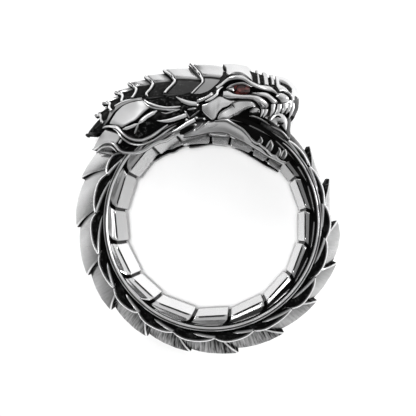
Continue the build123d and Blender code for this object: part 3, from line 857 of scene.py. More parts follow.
# Crest plates: each edge is drawn from the ridge down to the flank, as places with heights off
# the middle plane. A plate starts under the edge before it and ends in its own.
crest = {
    "gap": ((1.34, 16.25, 0.25), (1.6, 15.52, 1.2), (1.5, 15.05, 2.0), (1.28, 14.66, 2.5), (0.98, 14.4, 2.8),
            (0.5, 14.1, 3.1), (0.28, 13.5, 3.4), (-0.1, 13.2, 3.6)),
    "edges": (
        ((-2.18, 16.41, 0.2), (-1.52, 15.75, 1.0), (-1.1, 15.27, 1.7), (-0.86, 14.8, 2.3), (-0.81, 14.47, 2.7),
         (-1.52, 13.76, 3.2), (-2.0, 13.29, 3.5)),
        ((-4.91, 15.89, 0.2), (-4.35, 15.46, 1.0), (-3.97, 15.08, 1.6), (-3.74, 14.66, 2.2),
         (-3.97, 14.33, 2.6), (-4.54, 13.76, 3.0), (-4.82, 13.38, 3.4)),
        ((-6.9, 15.23, 0.2), (-6.42, 14.82, 0.9), (-6.09, 14.52, 1.4), (-6.07, 14.28, 1.9), (-6.33, 13.81, 2.4),
         (-6.75, 13.34, 2.8), (-6.6, 13.0, 3.1)),
        ((-8.65, 14.48, 0.2), (-8.1, 14.15, 0.8), (-7.84, 13.9, 1.2), (-7.79, 13.72, 1.5), (-7.9, 13.4, 1.9),
         (-8.05, 13.15, 2.2), (-8.26, 12.9, 2.5)),
        ((-10.05, 13.55, 0.2), (-9.63, 13.42, 0.6), (-9.35, 13.28, 0.9), (-9.25, 13.1, 1.2),
         (-9.25, 12.96, 1.4), (-9.3, 12.8, 1.7), (-9.35, 12.5, 2.1)),
        ((-11.33, 12.35, 0.2), (-10.85, 12.38, 0.5), (-10.57, 12.3, 0.8), (-10.6, 12.1, 1.1),
         (-10.64, 11.95, 1.3), (-10.62, 11.8, 1.5), (-10.38, 11.5, 2.0)),
        ((-12.08, 11.03, 0.2), (-11.8, 11.1, 0.45), (-11.6, 11.08, 0.7), (-11.53, 10.95, 0.9),
         (-11.51, 10.79, 1.2), (-11.5, 10.6, 1.4), (-11.4, 10.3, 1.7)),
        ((-13.0, 8.93, 0.12), (-12.9, 9.0, 0.2), (-12.8, 9.0, 0.3), (-12.7, 9.05, 0.4), (-12.6, 9.1, 0.5),
         (-12.5, 9.1, 0.7), (-12.3, 9.1, 0.9))),
    "sideTones": (0.62, 0.965, 0.99, 1, 1, 1, 1, 1),
    "topTones": (0.14, 0.14, 0.16, 0.18, 0.2, 0.25, 0.35, 0.9),
    "rimTones": (0, 0, 0, 0, 0, 0, 0.2, 0.95),
    # share of the way down at which the top facet ends
    "creases": (0.46, 0.46, 0.42, 0.34, 0.27, 0.22, 0.2, 0.2),
    "under": 0.9,              # mm that a plate starts under the one in front
    "sunk": 0.35,              # mm that it is sunk there
    "narrower": (0.15, 0.12),  # mm that it is narrower there, and the least half width it keeps
    "rim": 0.26,               # width of the raised rim, and of the groove behind it
    "groove": 0.1,
    "shadow": 0.3,             # mm of black behind the plate in front
    "sharp": (12, 14),         # how sharply that black ends, and the side facet's tone sets in
    "crease": (0.1, 0.04),     # depth and width of the crease between the facets
    "creaseBlack": (1.5, 0.05, 0.07),      # strength, place past the crease and width of its black
}


def crossCurve(points):
    # Whole cross curve from one flank over the ridge to the other.
    near = toReal(smooth(points, 15))
    return np.vstack([near[::-1], near * (1, 1, -1)])


def makeCrest(material):
    # Each plate is a shingle from the edge in front to its own, creased between its top and its
    # side: black under the plate in front and along the crease, dark below it, bright at its rim.
    c = crest
    made = []
    front = np.array(c["gap"])
    covered = 0.0
    black, past, wide = c["creaseBlack"]
    byEdge, byFold = c["sharp"]
    narrower, least = c["narrower"]
    rows = zip(c["edges"], c["sideTones"], c["topTones"], c["rimTones"], c["creases"])
    for edge, side, top, rimTone, fold in rows:
        edge = np.array(edge)
        way = (smooth(front, 15) - smooth(edge, 15)).mean(axis=0)[:2]
        length = np.linalg.norm(way)
        rim = 1 - c["rim"] / length
        groove = rim - c["groove"] / length
        shadow = (covered + c["shadow"]) / length

        def shade(u, v):
            under = ramp(shadow - u, byEdge) if covered else 0 * u * v
            crease = np.minimum(black * np.exp(-((np.abs(v) - fold - past) / wide) ** 2), 1)
            below = side * ramp(np.abs(v) - fold, byFold)
            plate = np.maximum(np.maximum(crease, below), top) * (u < rim - 0.01)
            return np.maximum(np.maximum(under, plate), rimTone)

        def dip(u, v):
            return c["crease"][0] * np.exp(-((np.abs(v) - fold) / c["crease"][1]) ** 2) + 0 * u

        profile = ((0, -0.1, 0), (0.12, 0, 0), (0.3, 0.05, 0), (0.55, 0.08, 0), (groove - 0.05, 0.06, 0),
                   (groove, -0.04, 1), (rim, -0.03, 1), (rim + 0.01, 0.1, 0), (0.5 + rim / 2, 0.15, 0),
                   (0.995, 0.09, 0), (1, 0, 0.3), (1, -0.18, 1), (0.97, -0.4, 1), (0.6, -0.5, 1), (0, -0.45, 1))
        made.append(shingle((crossCurve(front), crossCurve(edge)), profile, 45, True, shade=shade, dip=dip))
        front = edge.copy()
        front[:, :2] += way / length * c["under"]
        front[:, :2] -= unit(front[:, :2]) * c["sunk"]
        front[:, 2] = np.maximum(front[:, 2] - narrower, least)
        covered = c["under"]
    makePiece("crest_plates", made, material)


makeCrest(leafSilver)


# Cap, bridge and tip of the snout: saddles over the middle plane. Each station is drawn from
# the ridge down to the flank.
snout = {
    "cap": (
        ((1.42, 16.4, 0.2), (1.75, 16.0, 1.2), (1.78, 15.48, 2.3)),
        ((2.0, 16.36, 0.2), (2.15, 15.9, 1.4), (2.1, 15.2, 2.9)),
        ((2.6, 16.3, 0.2), (2.65, 15.95, 1.4), (2.6, 15.45, 2.9)),
        ((3.3, 16.2, 0.2), (3.35, 15.8, 1.4), (3.35, 15.38, 2.9)),
        ((3.9, 16.1, 0.2), (3.95, 15.6, 1.4), (3.95, 15.05, 3.1)),
        ((4.35, 15.82, 0.2), (4.45, 15.3, 1.4), (4.5, 14.6, 3.2))),
    "bridge": (
        (((4.82, 15.76, 0.2), (5.0, 15.2, 1.3), (5.1, 14.3, 3.2)),
         ((4.95, 15.74, 0.2), (5.1, 15.15, 1.3), (5.2, 14.25, 3.2)),
         ((5.08, 15.68, 0.2), (5.22, 15.05, 1.3), (5.3, 14.2, 3.2))),
        (((5.52, 15.5, 0.2), (5.66, 14.95, 1.3), (5.78, 14.2, 3.1)),
         ((5.76, 15.42, 0.2), (5.86, 14.85, 1.35), (5.95, 14.15, 3.1)),
         ((6.05, 15.3, 0.2), (6.12, 14.75, 1.4), (6.2, 14.1, 3.1))),
        (((6.28, 15.22, 0.2), (6.45, 14.8, 1.4), (6.5, 14.2, 3.0)),
         ((6.5, 15.18, 0.2), (6.6, 14.75, 1.4), (6.65, 14.15, 3.0)),
         ((6.68, 15.14, 0.2), (6.74, 14.7, 1.35), (6.78, 14.1, 2.95)))),
    "tip": (
        ((6.86, 15.12, 0.2), (6.92, 14.6, 1.4), (7.05, 13.8, 3.0), (7.2, 13.2, 3.5), (7.4, 12.3, 3.6)),
        ((7.35, 15.05, 0.2), (7.4, 14.55, 1.4), (7.5, 13.8, 2.9), (7.6, 13.1, 3.4), (7.7, 12.1, 3.5)),
        ((8.0, 14.85, 0.2), (8.0, 14.4, 1.3), (8.0, 13.7, 2.6), (8.05, 13.0, 3.2), (8.1, 11.8, 3.2)),
        ((8.5, 14.5, 0.2), (8.5, 14.05, 1.1), (8.45, 13.4, 2.3), (8.45, 12.8, 2.9), (8.4, 11.3, 2.9)),
        ((8.95, 14.0, 0.2), (8.9, 13.6, 0.9), (8.85, 13.1, 1.8), (8.85, 12.4, 2.4), (8.6, 10.9, 2.4)),
        ((9.24, 13.5, 0.2), (9.22, 13.1, 0.6), (9.2, 12.6, 1.2), (9.15, 12.0, 1.7), (8.8, 10.85, 1.7)),
        ((9.33, 13.0, 0.15), (9.33, 12.6, 0.4), (9.32, 12.2, 0.7), (9.25, 11.6, 1.0), (9.0, 11.0, 1.0))),
    "swells": (0.12, 0.05, 0.0),   # how far the middle of the cap, of each bridge and of the tip swells
    # tones of the cap, bridges and tip: painted shade that dims the highlights on them
    "tones": (0.26, 0.34, 0.16),
    "thick": 0.5,
    # painted shade below the nose, black on the front of the lip: the share of the tip's length from
    #     # which it runs, the least sum of that share and of the way down, how sharply both set in, and its
    #     tone
    "lip": (0.56, 1.15, 12, 8, 0.92),
    # shares of the tip's length and of the way down its side, the depth in mm, and the soft edge
    "nostril": {"from": 0.15, "to": 0.54, "start": 0.35, "slope": 0.3, "half": 0.125, "deep": 0.25,
                "soft": 0.02, "sharp": 25},
}


def saddle(stations, swell, tone, count=45, **more):
    # Skin through the stations' cross curves, swelling by a parabola from the first to the last.
    steps = np.linspace(0, 1, 4 * len(stations))
    profile = [(s, swell * 4 * s * (1 - s), tone) for s in steps]
    profile[0] = (0, -0.05, 0.9)
    profile[-1] = (1, -0.02, 0.6)
    profile += [(s, -snout["thick"], 1) for s in (1, 0.5, 0)]
    return shingle([crossCurve(s) for s in stations], profile, count, True, **more)


def nostril(u, v):
    # 1 inside a slot that runs forward and down from the bridge on each side of the snout, 0 outside.
    n = snout["nostril"]
    soft, sharp = n["soft"], n["sharp"]
    middle = n["start"] + (u - n["from"]) * n["slope"]
    across = ramp(n["half"] - np.abs(np.abs(v) - middle) + soft, sharp)
    return across * ramp(u - n["from"] + soft, sharp) * ramp(n["to"] - u + soft, sharp)


def tipShade(u, v):
    # The front of the lip is painted black as the shade below the nose, and the nostrils are black.
    start, least, byLength, byBoth, tone = snout["lip"]
    lip = ramp(u - start, byLength) * ramp(np.abs(v) + u - least, byBoth) * tone
    return np.maximum(lip, nostril(u, v))


def tipDip(u, v):
    return snout["nostril"]["deep"] * nostril(u, v)


def makeSnout(material):
    s = snout
    cap, bridge, tip = zip(s["swells"], s["tones"])
    made = [saddle(s["cap"], *cap)] + [saddle(stations, *bridge) for stations in s["bridge"]]
    made.append(saddle(s["tip"], *tip, 91, shade=tipShade, dip=tipDip))
    makePiece("snout", made, material)


makeSnout(silver)


# Side of the head, in drawn places.
face = {
    # lower line, upper line and height of each strip, and what differs
    "strips": (
        # brow ridge over the eye, and its tail behind
        (((0.82, 13.8), (1.38, 14.2), (1.8, 14.52), (2.25, 14.72), (3.03, 14.8), (3.46, 14.72), (3.89, 14.46),
          (4.23, 14.18), (4.75, 13.94), (5.4, 13.72), (6.05, 13.56), (6.7, 13.36), (7.2, 13)),
         ((0.65, 13.97), (1.3, 14.4), (1.73, 14.74), (2.16, 15.04), (2.6, 15.14), (3.03, 15.16), (3.46, 15.12),
          (3.89, 14.86), (4.23, 14.6), (4.75, 14.33), (5.2, 14.14), (5.8, 14.02), (6.48, 13.84), (7.3, 13)),
         0.2, {"lift": 0.35}),
        (((-1.3, 12.3), (-0.43, 12.62), (0, 12.82), (0.45, 13.2)),
         ((-1.25, 12.7), (-0.43, 13), (-0.05, 13.2), (0.2, 13.45)), 0.18, {}),
        # tear corner
        (((1.9, 13.72), (2.2, 13.6), (2.55, 13.5)), ((1.9, 13.8), (2.25, 13.92), (2.6, 14)), 0.12, {}),
        # folds below and in front of the eye
        (((1.43, 12.98), (2, 12.8), (2.6, 12.8), (3.24, 12.76), (3.9, 12.72), (4.32, 12.72), (4.72, 12.55),
          (5.06, 12.3), (5.3, 11.9), (5.3, 11.72)),
         ((1.47, 13.53), (1.86, 13.62), (2.16, 13.47), (2.6, 13.27), (3.03, 13.18), (3.67, 13.14),
          (4.32, 13.14), (4.75, 13.06), (5.2, 12.97), (5.53, 12.75), (5.83, 12.5), (6.09, 12.24),
          (6.18, 12.02), (5.96, 11.72)),
         0.22, {"lift": 0.2}),
        (((5.2, 13.05), (5.7, 12.95), (6.05, 12.78), (6.31, 12.48), (6.48, 12.2), (6.61, 12.1)),
         ((4.4, 13.33), (5, 13.38), (5.6, 13.38), (6.05, 13.29), (6.4, 13.08), (6.79, 12.77), (7.04, 12.52),
          (7.13, 12.24)), 0.2, {"lift": 0.2}),
        (((6.9, 12.95), (7.3, 12.6), (7.43, 12.24), (7.6, 12.15)),
         ((7.3, 13.28), (7.78, 13.2), (8.2, 12.9), (8.3, 12.54), (8, 12.17)), 0.18, {"lift": 0.3}),
        # lobe of the nose
        (((7.3, 13.45), (7.78, 13.36), (8.17, 13.15), (8.42, 12.84), (8.5, 12.49)),
         ((7.5, 13.72), (8, 13.55), (8.42, 13.28), (8.74, 12.95), (8.86, 12.6)), 0.15, {}),
        # cheek and lip plate
        (((-0.75, 11.5), (-0.5, 11.2), (-0.15, 10.8), (0.3, 10.36), (0.65, 10.64), (0.82, 11.07), (0.99, 11.42),
          (1.3, 11.72), (1.73, 11.93), (2.33, 12.28)),
         ((-0.75, 12.1), (-0.4, 12.25), (0, 12.45), (0.45, 12.75), (1, 13), (1.5, 12.9), (2, 12.66),
          (2.75, 12.5)),
         0.2, {"profile": "plate"}),
        (((1.2, 10.35), (1.9, 10.45), (2.16, 10.68), (2.6, 10.9), (3.03, 11.12), (3.46, 11.45), (3.9, 11.68),
          (4.32, 11.82), (4.75, 11.89)),
         ((0.8, 10.6), (1.04, 11.16), (1.38, 11.5), (2.16, 11.92), (2.33, 12.2), (2.85, 12.5), (3.46, 12.53),
          (4.1, 12.53), (4.54, 12.4), (4.84, 12.06)), 0.2, {"profile": "plate"}),
        # black roof of the mouth, a sheet painted black as the shade inside the mouth
        (((1.1, 10.1), (2.5, 10.2), (4, 10.2), (5.2, 10.2)), ((1.3, 11.3), (2.6, 12.1), (4, 12.4), (5.8, 12.2)),
         0.02, {"z": 3.2, "patina": 1.0}),
        # lobe behind the teeth
        (((4.25, 11.05), (4.6, 10.98), (5, 11.05), (5.25, 11.2)),
         ((4.25, 11.5), (4.6, 11.75), (5, 11.8), (5.25, 11.6)), 0.2, {"lift": -0.1})),
    # points, width and height of each line, and what differs
    "lines": (
        # fold from the brow's tail, upper lid, line on the lower fold
        (((-0.43, 12.49), (0, 12.67), (0.43, 12.93), (0.78, 13.23), (0.91, 13.62), (1.17, 13.88), (1.43, 14)),
         0.24, 0.12, {"lift": 0.25}),
        (((1.77, 13.83), (2.05, 14.01), (2.33, 14.15), (2.6, 14.24), (3.03, 14.34), (3.46, 14.36),
          (3.75, 14.27), (4.06, 14.11), (4.45, 13.96)), 0.26, 0.2, {"lift": 0.2}),
        (((1.5, 13), (2, 12.84), (2.8, 12.84), (3.46, 12.8), (4.32, 12.75), (4.67, 12.62), (5.01, 12.35),
          (5.25, 12)), 0.12, 0.1, {"lift": 0.3}),
        # black hook beside the brow
        (((6.1, 14.05), (6.48, 14.1), (6.75, 14.1), (7, 13.88), (7.17, 13.58), (7.3, 13.2)), 0.16, 0.08,
         {"lift": 0.3, "patina": 1.0}),
        # edges of the cheek and of the lip plate
        (((-0.7, 11.5), (-0.45, 11.2), (-0.1, 10.85), (0.28, 10.45)), 0.12, 0.08, {"lift": 0.2}),
        (((1.25, 10.42), (1.9, 10.52), (2.16, 10.75), (2.6, 10.97), (3.03, 11.19), (3.46, 11.52), (3.9, 11.75),
          (4.32, 11.88)), 0.12, 0.08, {"lift": 0.2}),
        (((0.88, 10.7), (1.1, 11.14), (1.45, 11.46), (2.16, 11.86), (2.4, 12.18)), 0.12, 0.08, {"lift": 0.2}),
        (((5.06, 11.5), (5.12, 11.3)), 0.2, 0.15, {"lift": 0.15}),
        # edges of the tail's scales in the mouth, on the tail's own side
        (((4.15, 10.9), (4.54, 10.86), (5, 10.73), (5.6, 10.42), (6.27, 9.95)), 0.2, 0.16, {"z": 3.95}),
        (((6.44, 9.82), (7, 9.56), (7.52, 9.26), (7.86, 8.91), (8.21, 8.48)), 0.2, 0.16, {"z": 3.95}),
        (((8.38, 8.17), (8.86, 7.83), (9.29, 7.44), (9.64, 7), (9.94, 6.49),
          (10.2, 5.8)), 0.2, 0.16, {"z": 3.95}),
        # dark marks on the fang
        (((6.8, 10.72), (7.1, 10.86), (7.45, 10.7)), 0.2, 0.06, {"z": 4.28, "patina": 1.0}),
        (((7.05, 10.2), (7.4, 10.08), (7.75, 10.15)), 0.2, 0.06, {"z": 4.28, "patina": 1.0})),
}

makePiece("face", fromTable(strip, face["strips"]), satin)
makePiece("face_lines", fromTable(line, face["lines"]), lineSilver)


# Under the jaw, short plates lie beside the finger hole's wall.
underJaw = {
    # angle, and the radius that the plates' inner faces reach
    "reach": ((36, 9.8), (44, 9.45), (50, 9.22), (56, 9.14), (66, 9.1), (78, 9.1), (92, 9.16), (100, 9.3),
              (114, 9.7)),
    "ends": (113.0, 91.2, 77.8, 60.6, 48.5, 36.0),
    "gap": 1.7,
    # share of the plate's length, and how far the inner face draws back there
    "drawsBack": ((0, 0.35), (0.04, 0.1), (0.1, 0), (0.9, 0), (0.96, 0.1), (1, 0.35)),
    # cross section: height off the middle plane, what is added to the inner radius, and tone
    "section": ((3.46, 0.35, 0.1), (3.48, 0.12, 0.1), (3.58, 0, 0.2), (4.05, 0, 0.35), (4.2, 0.12, 0.6)),
    # and the outer face: its radius, and height and tone at its two edges
    "outer": 10.5,
    "outerEdges": ((3.46, 0.1), (4.2, 1.0)),
}


def makeUnderJaw(material):
    # A cross section carried round the hole, whose inner face follows the reach and draws back
    # at both ends of each plate.
    u = underJaw
    z, added, tone = np.transpose(u["section"])
    (lowZ, lowTone), (highZ, highTone) = u["outerEdges"]
    z = np.concatenate([[lowZ], z, [highZ]])
    tone = np.concatenate([[lowTone], tone, [highTone]])
    share = np.array((0, 0.01, 0.04, 0.1, 0.3, 0.5, 0.7, 0.9, 0.96, 0.99, 1))
    made = []
    for start, end in zip(u["ends"][:-1], u["ends"][1:]):
        angle = start - u["gap"] / 2 + (end - start + u["gap"]) * share
        inner = (read(u["reach"], angle) + read(u["drawsBack"], share))[:, None] + added
        radius = np.pad(inner, ((0, 0), (1, 1)), constant_values=u["outer"])
        made.append(skin(polar(angle[:, None], radius, z), tone))
    makePiece("under_jaw_plates", bothSides(made), material, crease=35)


makeUnderJaw(satin)


# Lower jaw, in drawn places, as the face.
jaw = {
    "strips": (
        (((-2.6, 8.3), (-1.5, 8.4), (-0.1, 8.7), (1, 8.82), (1.9, 8.6), (2.5, 8.2), (3.4, 7.7), (4.2, 7.2),
          (5, 6.72), (5.8, 6.25), (6.6, 5.92), (7.34, 5.58)),
         ((-2.4, 9), (-1.4, 9.4), (-0.3, 10), (0.56, 10.28), (1.6, 10.38), (2.2, 10.1), (3.15, 9.5),
          (3.72, 8.9), (4.2, 8.1), (4.8, 7.65), (5.5, 7.15), (6.3, 6.5), (7, 6.1), (7.6, 5.9)),
         0.25, {"z": 4.45, "profile": "plate", "count": 50, "ends": (0.1, 0.05, 0.2, 0.7), "patina": 0.28}),
        # black floor of the mouth, a sheet painted black as the shade inside the mouth
        (((4, 8.6), (4.9, 7.8), (6, 6.9), (7, 6.2), (7.8, 5.95)),
         ((3, 10.1), (4.6, 9.48), (5.55, 8.98), (6.55, 8.26), (7.3, 7.6), (8, 6.86), (8.5, 6.24)),
         0.02, {"z": 4.33, "patina": 1.0}),
        # wedge at the corner of the jaw, half darkened as painted shade that dims its glints
        (((-1.35, 8.79), (-0.84, 9.08), (-0.26, 9.6), (0.14, 10.12)),
         ((-1.8, 8.85), (-1.05, 9.25), (-0.52, 9.86), (-0.09, 10.29)), 0.1, {"z": 4.6, "patina": 0.5})),
    "lines": (
        (((-0.17, 9.38), (0.35, 9.56), (0.86, 9.9)), 0.12, 0.08, {"z": 4.75}),
        (((-0.66, 10), (-1, 9.54), (-1.41, 9.14)), 0.12, 0.1, {"z": 4.9}),
        # the jaw's upper edge
        (((0.56, 10.28), (0.99, 10.38), (1.43, 10.42), (1.9, 10.38), (2.07, 10.25), (2.38, 10.03), (2.77, 9.78),
          (3.15, 9.52), (3.46, 9.26), (3.72, 8.91), (3.93, 8.57), (4.15, 8.18), (4.41, 7.87), (4.71, 7.7),
          (4.97, 7.66), (5.27, 7.38), (5.62, 7.09), (6, 6.7), (6.22, 6.53), (6.61, 6.44), (6.91, 6.18),
          (7.17, 6.01), (7.69, 5.95)), 0.24, 0.2, {"z": 4.8, "count": 70}),
        # edges of the lower teeth
        (((5.08, 7.6), (5.34, 8.05), (5.22, 8.6)), 0.2, 0.12, {"z": 4.5}),
        (((6.1, 6.9), (6.42, 7.6), (6.3, 8.3)), 0.2, 0.12, {"z": 4.5}),
        (((5.62, 7.2), (5.95, 7.75), (6.22, 8.2)), 0.2, 0.12, {"z": 4.5}),
        (((6.95, 6.4), (7.24, 6.95), (7.12, 7.5)), 0.2, 0.12, {"z": 4.5}),
        (((7.55, 6.25), (7.88, 6.8), (7.84, 7.4)), 0.2, 0.12, {"z": 4.5}),
        (((7.15, 6.35), (7.45, 6.9), (7.72, 7.3)), 0.2, 0.12, {"z": 4.5}),
        # black hollow behind the jaw, a wide line painted black as shade over the jaw's corner, and
        #         # dark line along its front
        (((-3, 8.8), (-2.3, 9.25), (-1.6, 9.65)), 0.6, 0.05, {"z": 4.8, "patina": 1.0}),
        (((4.15, 7.78), (4.67, 7.48), (5.14, 7.27), (5.44, 6.92), (5.7, 6.62), (6.05, 6.36)), 0.14, 0.05,
         {"z": 4.72, "patina": 1.0})),
}

makePiece("jaw", fromTable(strip, jaw["strips"]), satin)
makePiece("jaw_lines", fromTable(line, jaw["lines"]), lineSilver)


# Teeth: drawn points, the widths along them, the height off the middle plane, and what differs.
teeth = {
    "rows": (
        # lower teeth
        (((4.85, 7.7), (5.12, 8.15), (5.2, 8.6)), (0.42, 0.3, 0.05), 4.3, {"patina": 0.9}),
        (((5.85, 6.95), (6.22, 7.6), (6.27, 8.3)), (0.5, 0.36, 0.05), 4.3, {"patina": 0.9}),
        (((6.7, 6.4), (7.05, 6.95), (7.09, 7.5)), (0.45, 0.34, 0.05), 4.3, {"patina": 0.9}),
        (((7.35, 6.2), (7.7, 6.8), (7.8, 7.4)), (0.4, 0.3, 0.05), 4.3, {"patina": 0.9}),
        # upper teeth
        (((6.65, 12.1), (6.61, 11.5), (6.44, 11.1), (6.31, 10.85)), (0.5, 0.45, 0.3, 0.05), 3.9, {}),
        (((7.3, 12.1), (7.26, 11.68), (7.09, 11.33), (6.75, 10.98)), (0.5, 0.5, 0.36, 0.05), 3.95, {}),
        (((7.8, 12.2), (7.86, 11.8), (7.7, 11.46), (7.5, 11.1)), (0.5, 0.45, 0.32, 0.05), 3.95, {}),
        (((8.38, 12.3), (8.36, 11.85), (8.2, 11.5), (7.95, 11.1)), (0.42, 0.4, 0.3, 0.05), 3.8, {}),
        (((8.66, 12.2), (8.66, 11.72), (8.5, 11.2), (8.25, 10.6)), (0.36, 0.36, 0.3, 0.05), 3.6, {}),
        (((5.58, 11.6), (5.5, 11.2), (5.33, 10.8)), (0.36, 0.26, 0.05), 3.9, {}),
        (((5.95, 11.6), (5.85, 11.2), (5.6, 10.75)), (0.36, 0.26, 0.05), 3.9, {}),
        # the fang, and the one in front of it
        (((6.5, 10.4), (7, 10.7), (7.6, 10.5), (7.95, 9.4)), (0.5, 1, 0.75, 0.1), 4.0, {}),
        (((8.25, 10.6), (8.2, 10), (8.2, 9.2), (8.5, 8.2)), (0.5, 0.5, 0.4, 0.1), 2.8, {"patina": 0.85})),
}

makePiece("teeth", fromTable(horn, teeth["rows"]), lineSilver)


# Neck: its plates, its raised lines and its spikes, in drawn places.
neck = {
    "plateEnds": (0.05, 0.05, 0.3, 0.3),
    # lower line, upper line, height and tone: the shield, the plate between the two collars, and
    # the grey band between the shield and the crest
    "plates": (
        (((-9.1, 9.85), (-8.31, 10.3), (-7.74, 10.58), (-7.27, 11), (-6.84, 11.4), (-6.3, 11.83)),
         ((-10.5, 10.25), (-9.98, 11.13), (-9.52, 11.7), (-8.97, 12.15), (-8.21, 12.45), (-7.27, 12.62),
          (-6.7, 12.6)), 0.14, 0.3),
        (((-9.35, 9.05), (-9.45, 8.6), (-9.75, 8.2), (-10.2, 7.95)),
         ((-11, 9.55), (-11.45, 9), (-11.9, 8.2), (-12.3, 7.45)), 0.12, 0.25),
        (((-11.1, 9.95), (-10.6, 10.55), (-10.08, 11.36), (-9.25, 12.02), (-8.22, 12.46), (-7.1, 12.7)),
         ((-11.75, 9.3), (-11.4, 10.2), (-10.95, 11.1), (-10.25, 11.78), (-9.25, 12.3), (-8.22, 12.72),
          (-7.1, 12.95)), 0.1, 0.6)),
    # points, width and height
    "lines": (
        (((-11.23, 10.89), (-10.57, 11.45), (-10, 11.97), (-9.16, 12.44), (-8.21, 12.77)), 0.3, 0.15),
        (((-11.04, 10.65), (-11.3, 10.25), (-11.51, 9.85)), 0.2, 0.15),
        (((-11.6, 9.67), (-11.8, 9.35), (-11.94, 9.05)), 0.2, 0.15),
        (((-6.84, 12.68), (-6.33, 12.35), (-5.76, 12.11), (-5.05, 11.92), (-4.35, 11.83), (-3.64, 11.88),
          (-3.03, 11.97)), 0.26, 0.18),
        (((-6.84, 12.4), (-6.23, 11.97), (-5.53, 11.78), (-4.82, 11.69), (-3.88, 11.64),
          (-3.07, 11.69)), 0.22, 0.16),
        (((-5.05, 11.36), (-4.54, 11.27), (-3.88, 11.45), (-3.12, 11.64)), 0.16, 0.12),
        (((-7.46, 10.2), (-8.3, 9.85), (-9.1, 9.6)), 0.32, 0.16),
        (((-7.46, 10.2), (-7.65, 9.7), (-7.87, 9.14)), 0.2, 0.16),
        (((-7.46, 10.2), (-6.77, 10.81), (-6.31, 11.1), (-5.5, 11.56)), 0.4, 0.18),
        (((-11.37, 9.67), (-11, 9.88), (-10.57, 9.95), (-10.1, 9.9), (-9.72, 9.8), (-9.34, 9.45), (-9.0, 9.1),
          (-8.45, 8.72), (-7.74, 8.49), (-7.03, 8.49), (-6.33, 8.72), (-6.02, 8.85), (-5.33, 9.31),
          (-4.76, 9.77), (-4.35, 10.06)), 0.34, 0.24),
        (((-10.1, 9.68), (-9.72, 9.45), (-9.25, 8.82), (-8.78, 8.4), (-8.31, 8.14), (-7.74, 8.01),
          (-7.03, 7.97), (-6.48, 8.1), (-5.62, 8.39), (-5.0, 8.79), (-4.18, 9.43), (-3.43, 9.89)), 0.22, 0.18),
        (((-12.1, 7.5), (-11.51, 7.83), (-11.14, 8.06), (-10.76, 8.2), (-10.29, 8.2), (-9.91, 7.97),
          (-9.49, 7.5), (-9.06, 7.21), (-8.31, 7.12), (-7.5, 7.17), (-6.8, 7.35), (-5.9, 7.8), (-5.0, 8.05),
          (-4.4, 8.13), (-3.83, 8.45), (-3.03, 8.79), (-2.57, 9.08)), 0.38, 0.28),
        (((-11.94, 7.17), (-11.28, 7.68), (-10.5, 7.8), (-10.1, 7.64), (-9.72, 7.21)), 0.18, 0.14),
        (((-2.0, 10.81), (-1.0, 11.56)), 0.14, 0.15),
        (((-2.27, 11.64), (-1.38, 11.78)), 0.2, 0.16),
        (((-2.57, 11.5), (-2.05, 10.7)), 0.2, 0.16),
        (((-9.2, 8.58), (-9.49, 8.1)), 0.2, 0.14),
    ),
    # points, widths along them and height off the middle plane
    "spikes": (
        (((-1.3, 12.2), (-2.1, 12.3), (-2.9, 12.62), (-3.5, 13.0)), (0.42, 0.5, 0.36, 0.05), 4.7),
        (((-2.4, 11.08), (-3.43, 10.72), (-4.3, 10.5), (-5.0, 10.45), (-5.5, 10.5)),
         (0.42, 0.46, 0.4, 0.3, 0.05), 4.75),
        (((-1.5, 10.5), (-2.3, 10.0), (-3.1, 9.42), (-3.8, 9.12)), (0.42, 0.44, 0.36, 0.05), 4.75),
        (((-2.52, 10.52), (-2.36, 10.52), (-2.2, 10.52)), (0.05, 0.3, 0.05), 4.7),
        (((-1.5, 10.75), (-1.35, 10.75), (-1.2, 10.75)), (0.05, 0.3, 0.05), 4.7),
        (((-1.6, 9.8), (-1.44, 9.8), (-1.28, 9.8)), (0.05, 0.3, 0.05), 4.7),
        (((-0.68, 10.55), (-0.52, 10.55), (-0.36, 10.55)), (0.05, 0.3, 0.05), 4.7),
        (((-1.5, 12.1), (-1.28, 12.15), (-1.1, 12.2)), (0.1, 0.45, 0.1), 4.7),
    ),
}


def makeNeck(plateMaterial, lineMaterial):
    n = neck
    plates = [strip(lower, upper, height, "plate", ends=n["plateEnds"], patina=tone)
              for lower, upper, height, tone in n["plates"]]
    makePiece("neck_plates", bothSides(plates), plateMaterial)
    makePiece("neck_lines", bothSides([line(*row, lift=0.1, count=60) for row in n["lines"]]), lineMaterial)
    makePiece("spikes", bothSides([horn(*row) for row in n["spikes"]]), lineMaterial)


makeNeck(brushed, lineSilver)
print("head made")


# Floor and light

floorLook = {
    "half": 1.5,               # metres
    "fibres": 400.0,           # scale of the paper's noise, to the metre
    "tones": ((0.93, 0.93, 0.93, 1), (0.96, 0.96, 0.96, 1)),
    "rough": 0.9,
}


def addFloor():
    mesh = bpy.data.meshes.new("floor")
    half = floorLook["half"]
    low = cadBox[0][2]
    corners = [(x * half, y * half, low) for x, y in ((-1, -1), (1, -1), (1, 1), (-1, 1))]
    mesh.from_pydata(corners, [], [(0, 1, 2, 3)])
    f = Finish(bpy.data.materials.new("paper_floor"))
    paper = f.mix(f.noise(f.place(), floorLook["fibres"], 2.0, 0.5), *floorLook["tones"])
    mesh.materials.append(f.end("Principled BSDF", {"Base Color": paper, "Roughness": floorLook["rough"]}))
    addObject("floor", mesh)


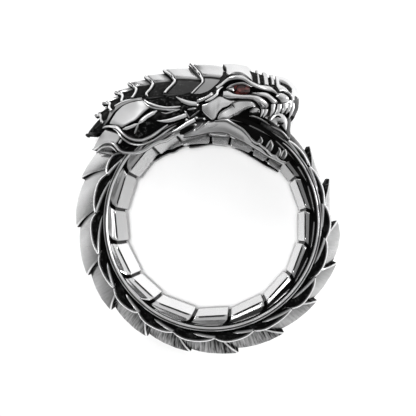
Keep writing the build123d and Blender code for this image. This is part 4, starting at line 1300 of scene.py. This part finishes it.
studio = {
    # share of the height from the horizon to overhead, and the room's brightness
    "room": ((0, 0.88), (0.35, 0.82), (0.65, 0.74), (0.86, 0.68), (1, 0.66)),
    "around": (0.7, 0.28, 0.22),   # brightness all round, and what the right and the top add
    # black screen at the upper left: how far round it begins, its lowest and highest height, how
    # dark it is, and how sharp its side, foot and top are
    "screen": (0.8, -0.1, 0.62, 0.93),
    "screenEdges": (6.0, 8.0, 5.0),
    # name, place, size and power
    "lamps": (
        ("upper_left", (-160, 190, 150), (110, 110), 0.3),
        ("right", (230, 40, 70), (60, 200), 0.26)),
    # wash that lights the floor from above without showing in the metal
    "pool": {"height": 400.0, "half": 42.0, "power": 4.8, "edge": 0.35, "soft": 30.0},
}


def addLamp(name, kind, place, power):
    data = bpy.data.lights.new(name, kind)
    data.energy = power
    lamp = addObject(name, data)
    lamp.location = Vector(place) / perMetre
    return data, lamp


def addLight():
    # The room is dark overhead and bright low down, brightest at the right and the top, grey
    # below, with a black screen low down at the upper left.
    s = studio
    world = bpy.data.worlds.new("studio")
    bpy.context.scene.world = world
    f = Finish(world)
    x, y, z = f.split(f.place("Generated"))
    up = f.add("ShaderNodeValToRGB", {"stops": s["room"]}, {0: z})
    level = (x * x + y * y) ** 0.5 + 0.0001
    right = x / level
    top = y / level
    base, toRight, toTop = s["around"]
    begins, low, high, dark = s["screen"]
    bySide, byFoot, byTop = s["screenEdges"]
    screen = (((top - right) * 0.7071 - begins) * bySide).held()
    screen = screen * ((z - low) * byFoot).held() * ((high - z) * byTop).held()
    glow = up * (base + right * toRight + top * toTop) * (1 - screen * dark)
    f.end("Background", {"Color": (1, 1, 1, 1), "Strength": glow})
    bpy.context.scene.view_settings.view_transform = "Standard"
    for name, place, size, power in s["lamps"]:
        data, lamp = addLamp(name, "AREA", place, power)
        data.shape = "RECTANGLE"
        data.size, data.size_y = (side / perMetre for side in size)
        lamp.rotation_euler = (-Vector(place)).to_track_quat("-Z", "Y").to_euler()
    pool = s["pool"]
    data, lamp = addLamp("floor_pool", "SPOT", (0, 0, pool["height"]), pool["power"])
    data.spot_size = 2 * np.arctan(pool["half"] / pool["height"])
    data.spot_blend = pool["edge"]
    data.shadow_soft_size = pool["soft"] / perMetre
    lamp.visible_glossy = False


addFloor()
addLight()
print("floor and light set")
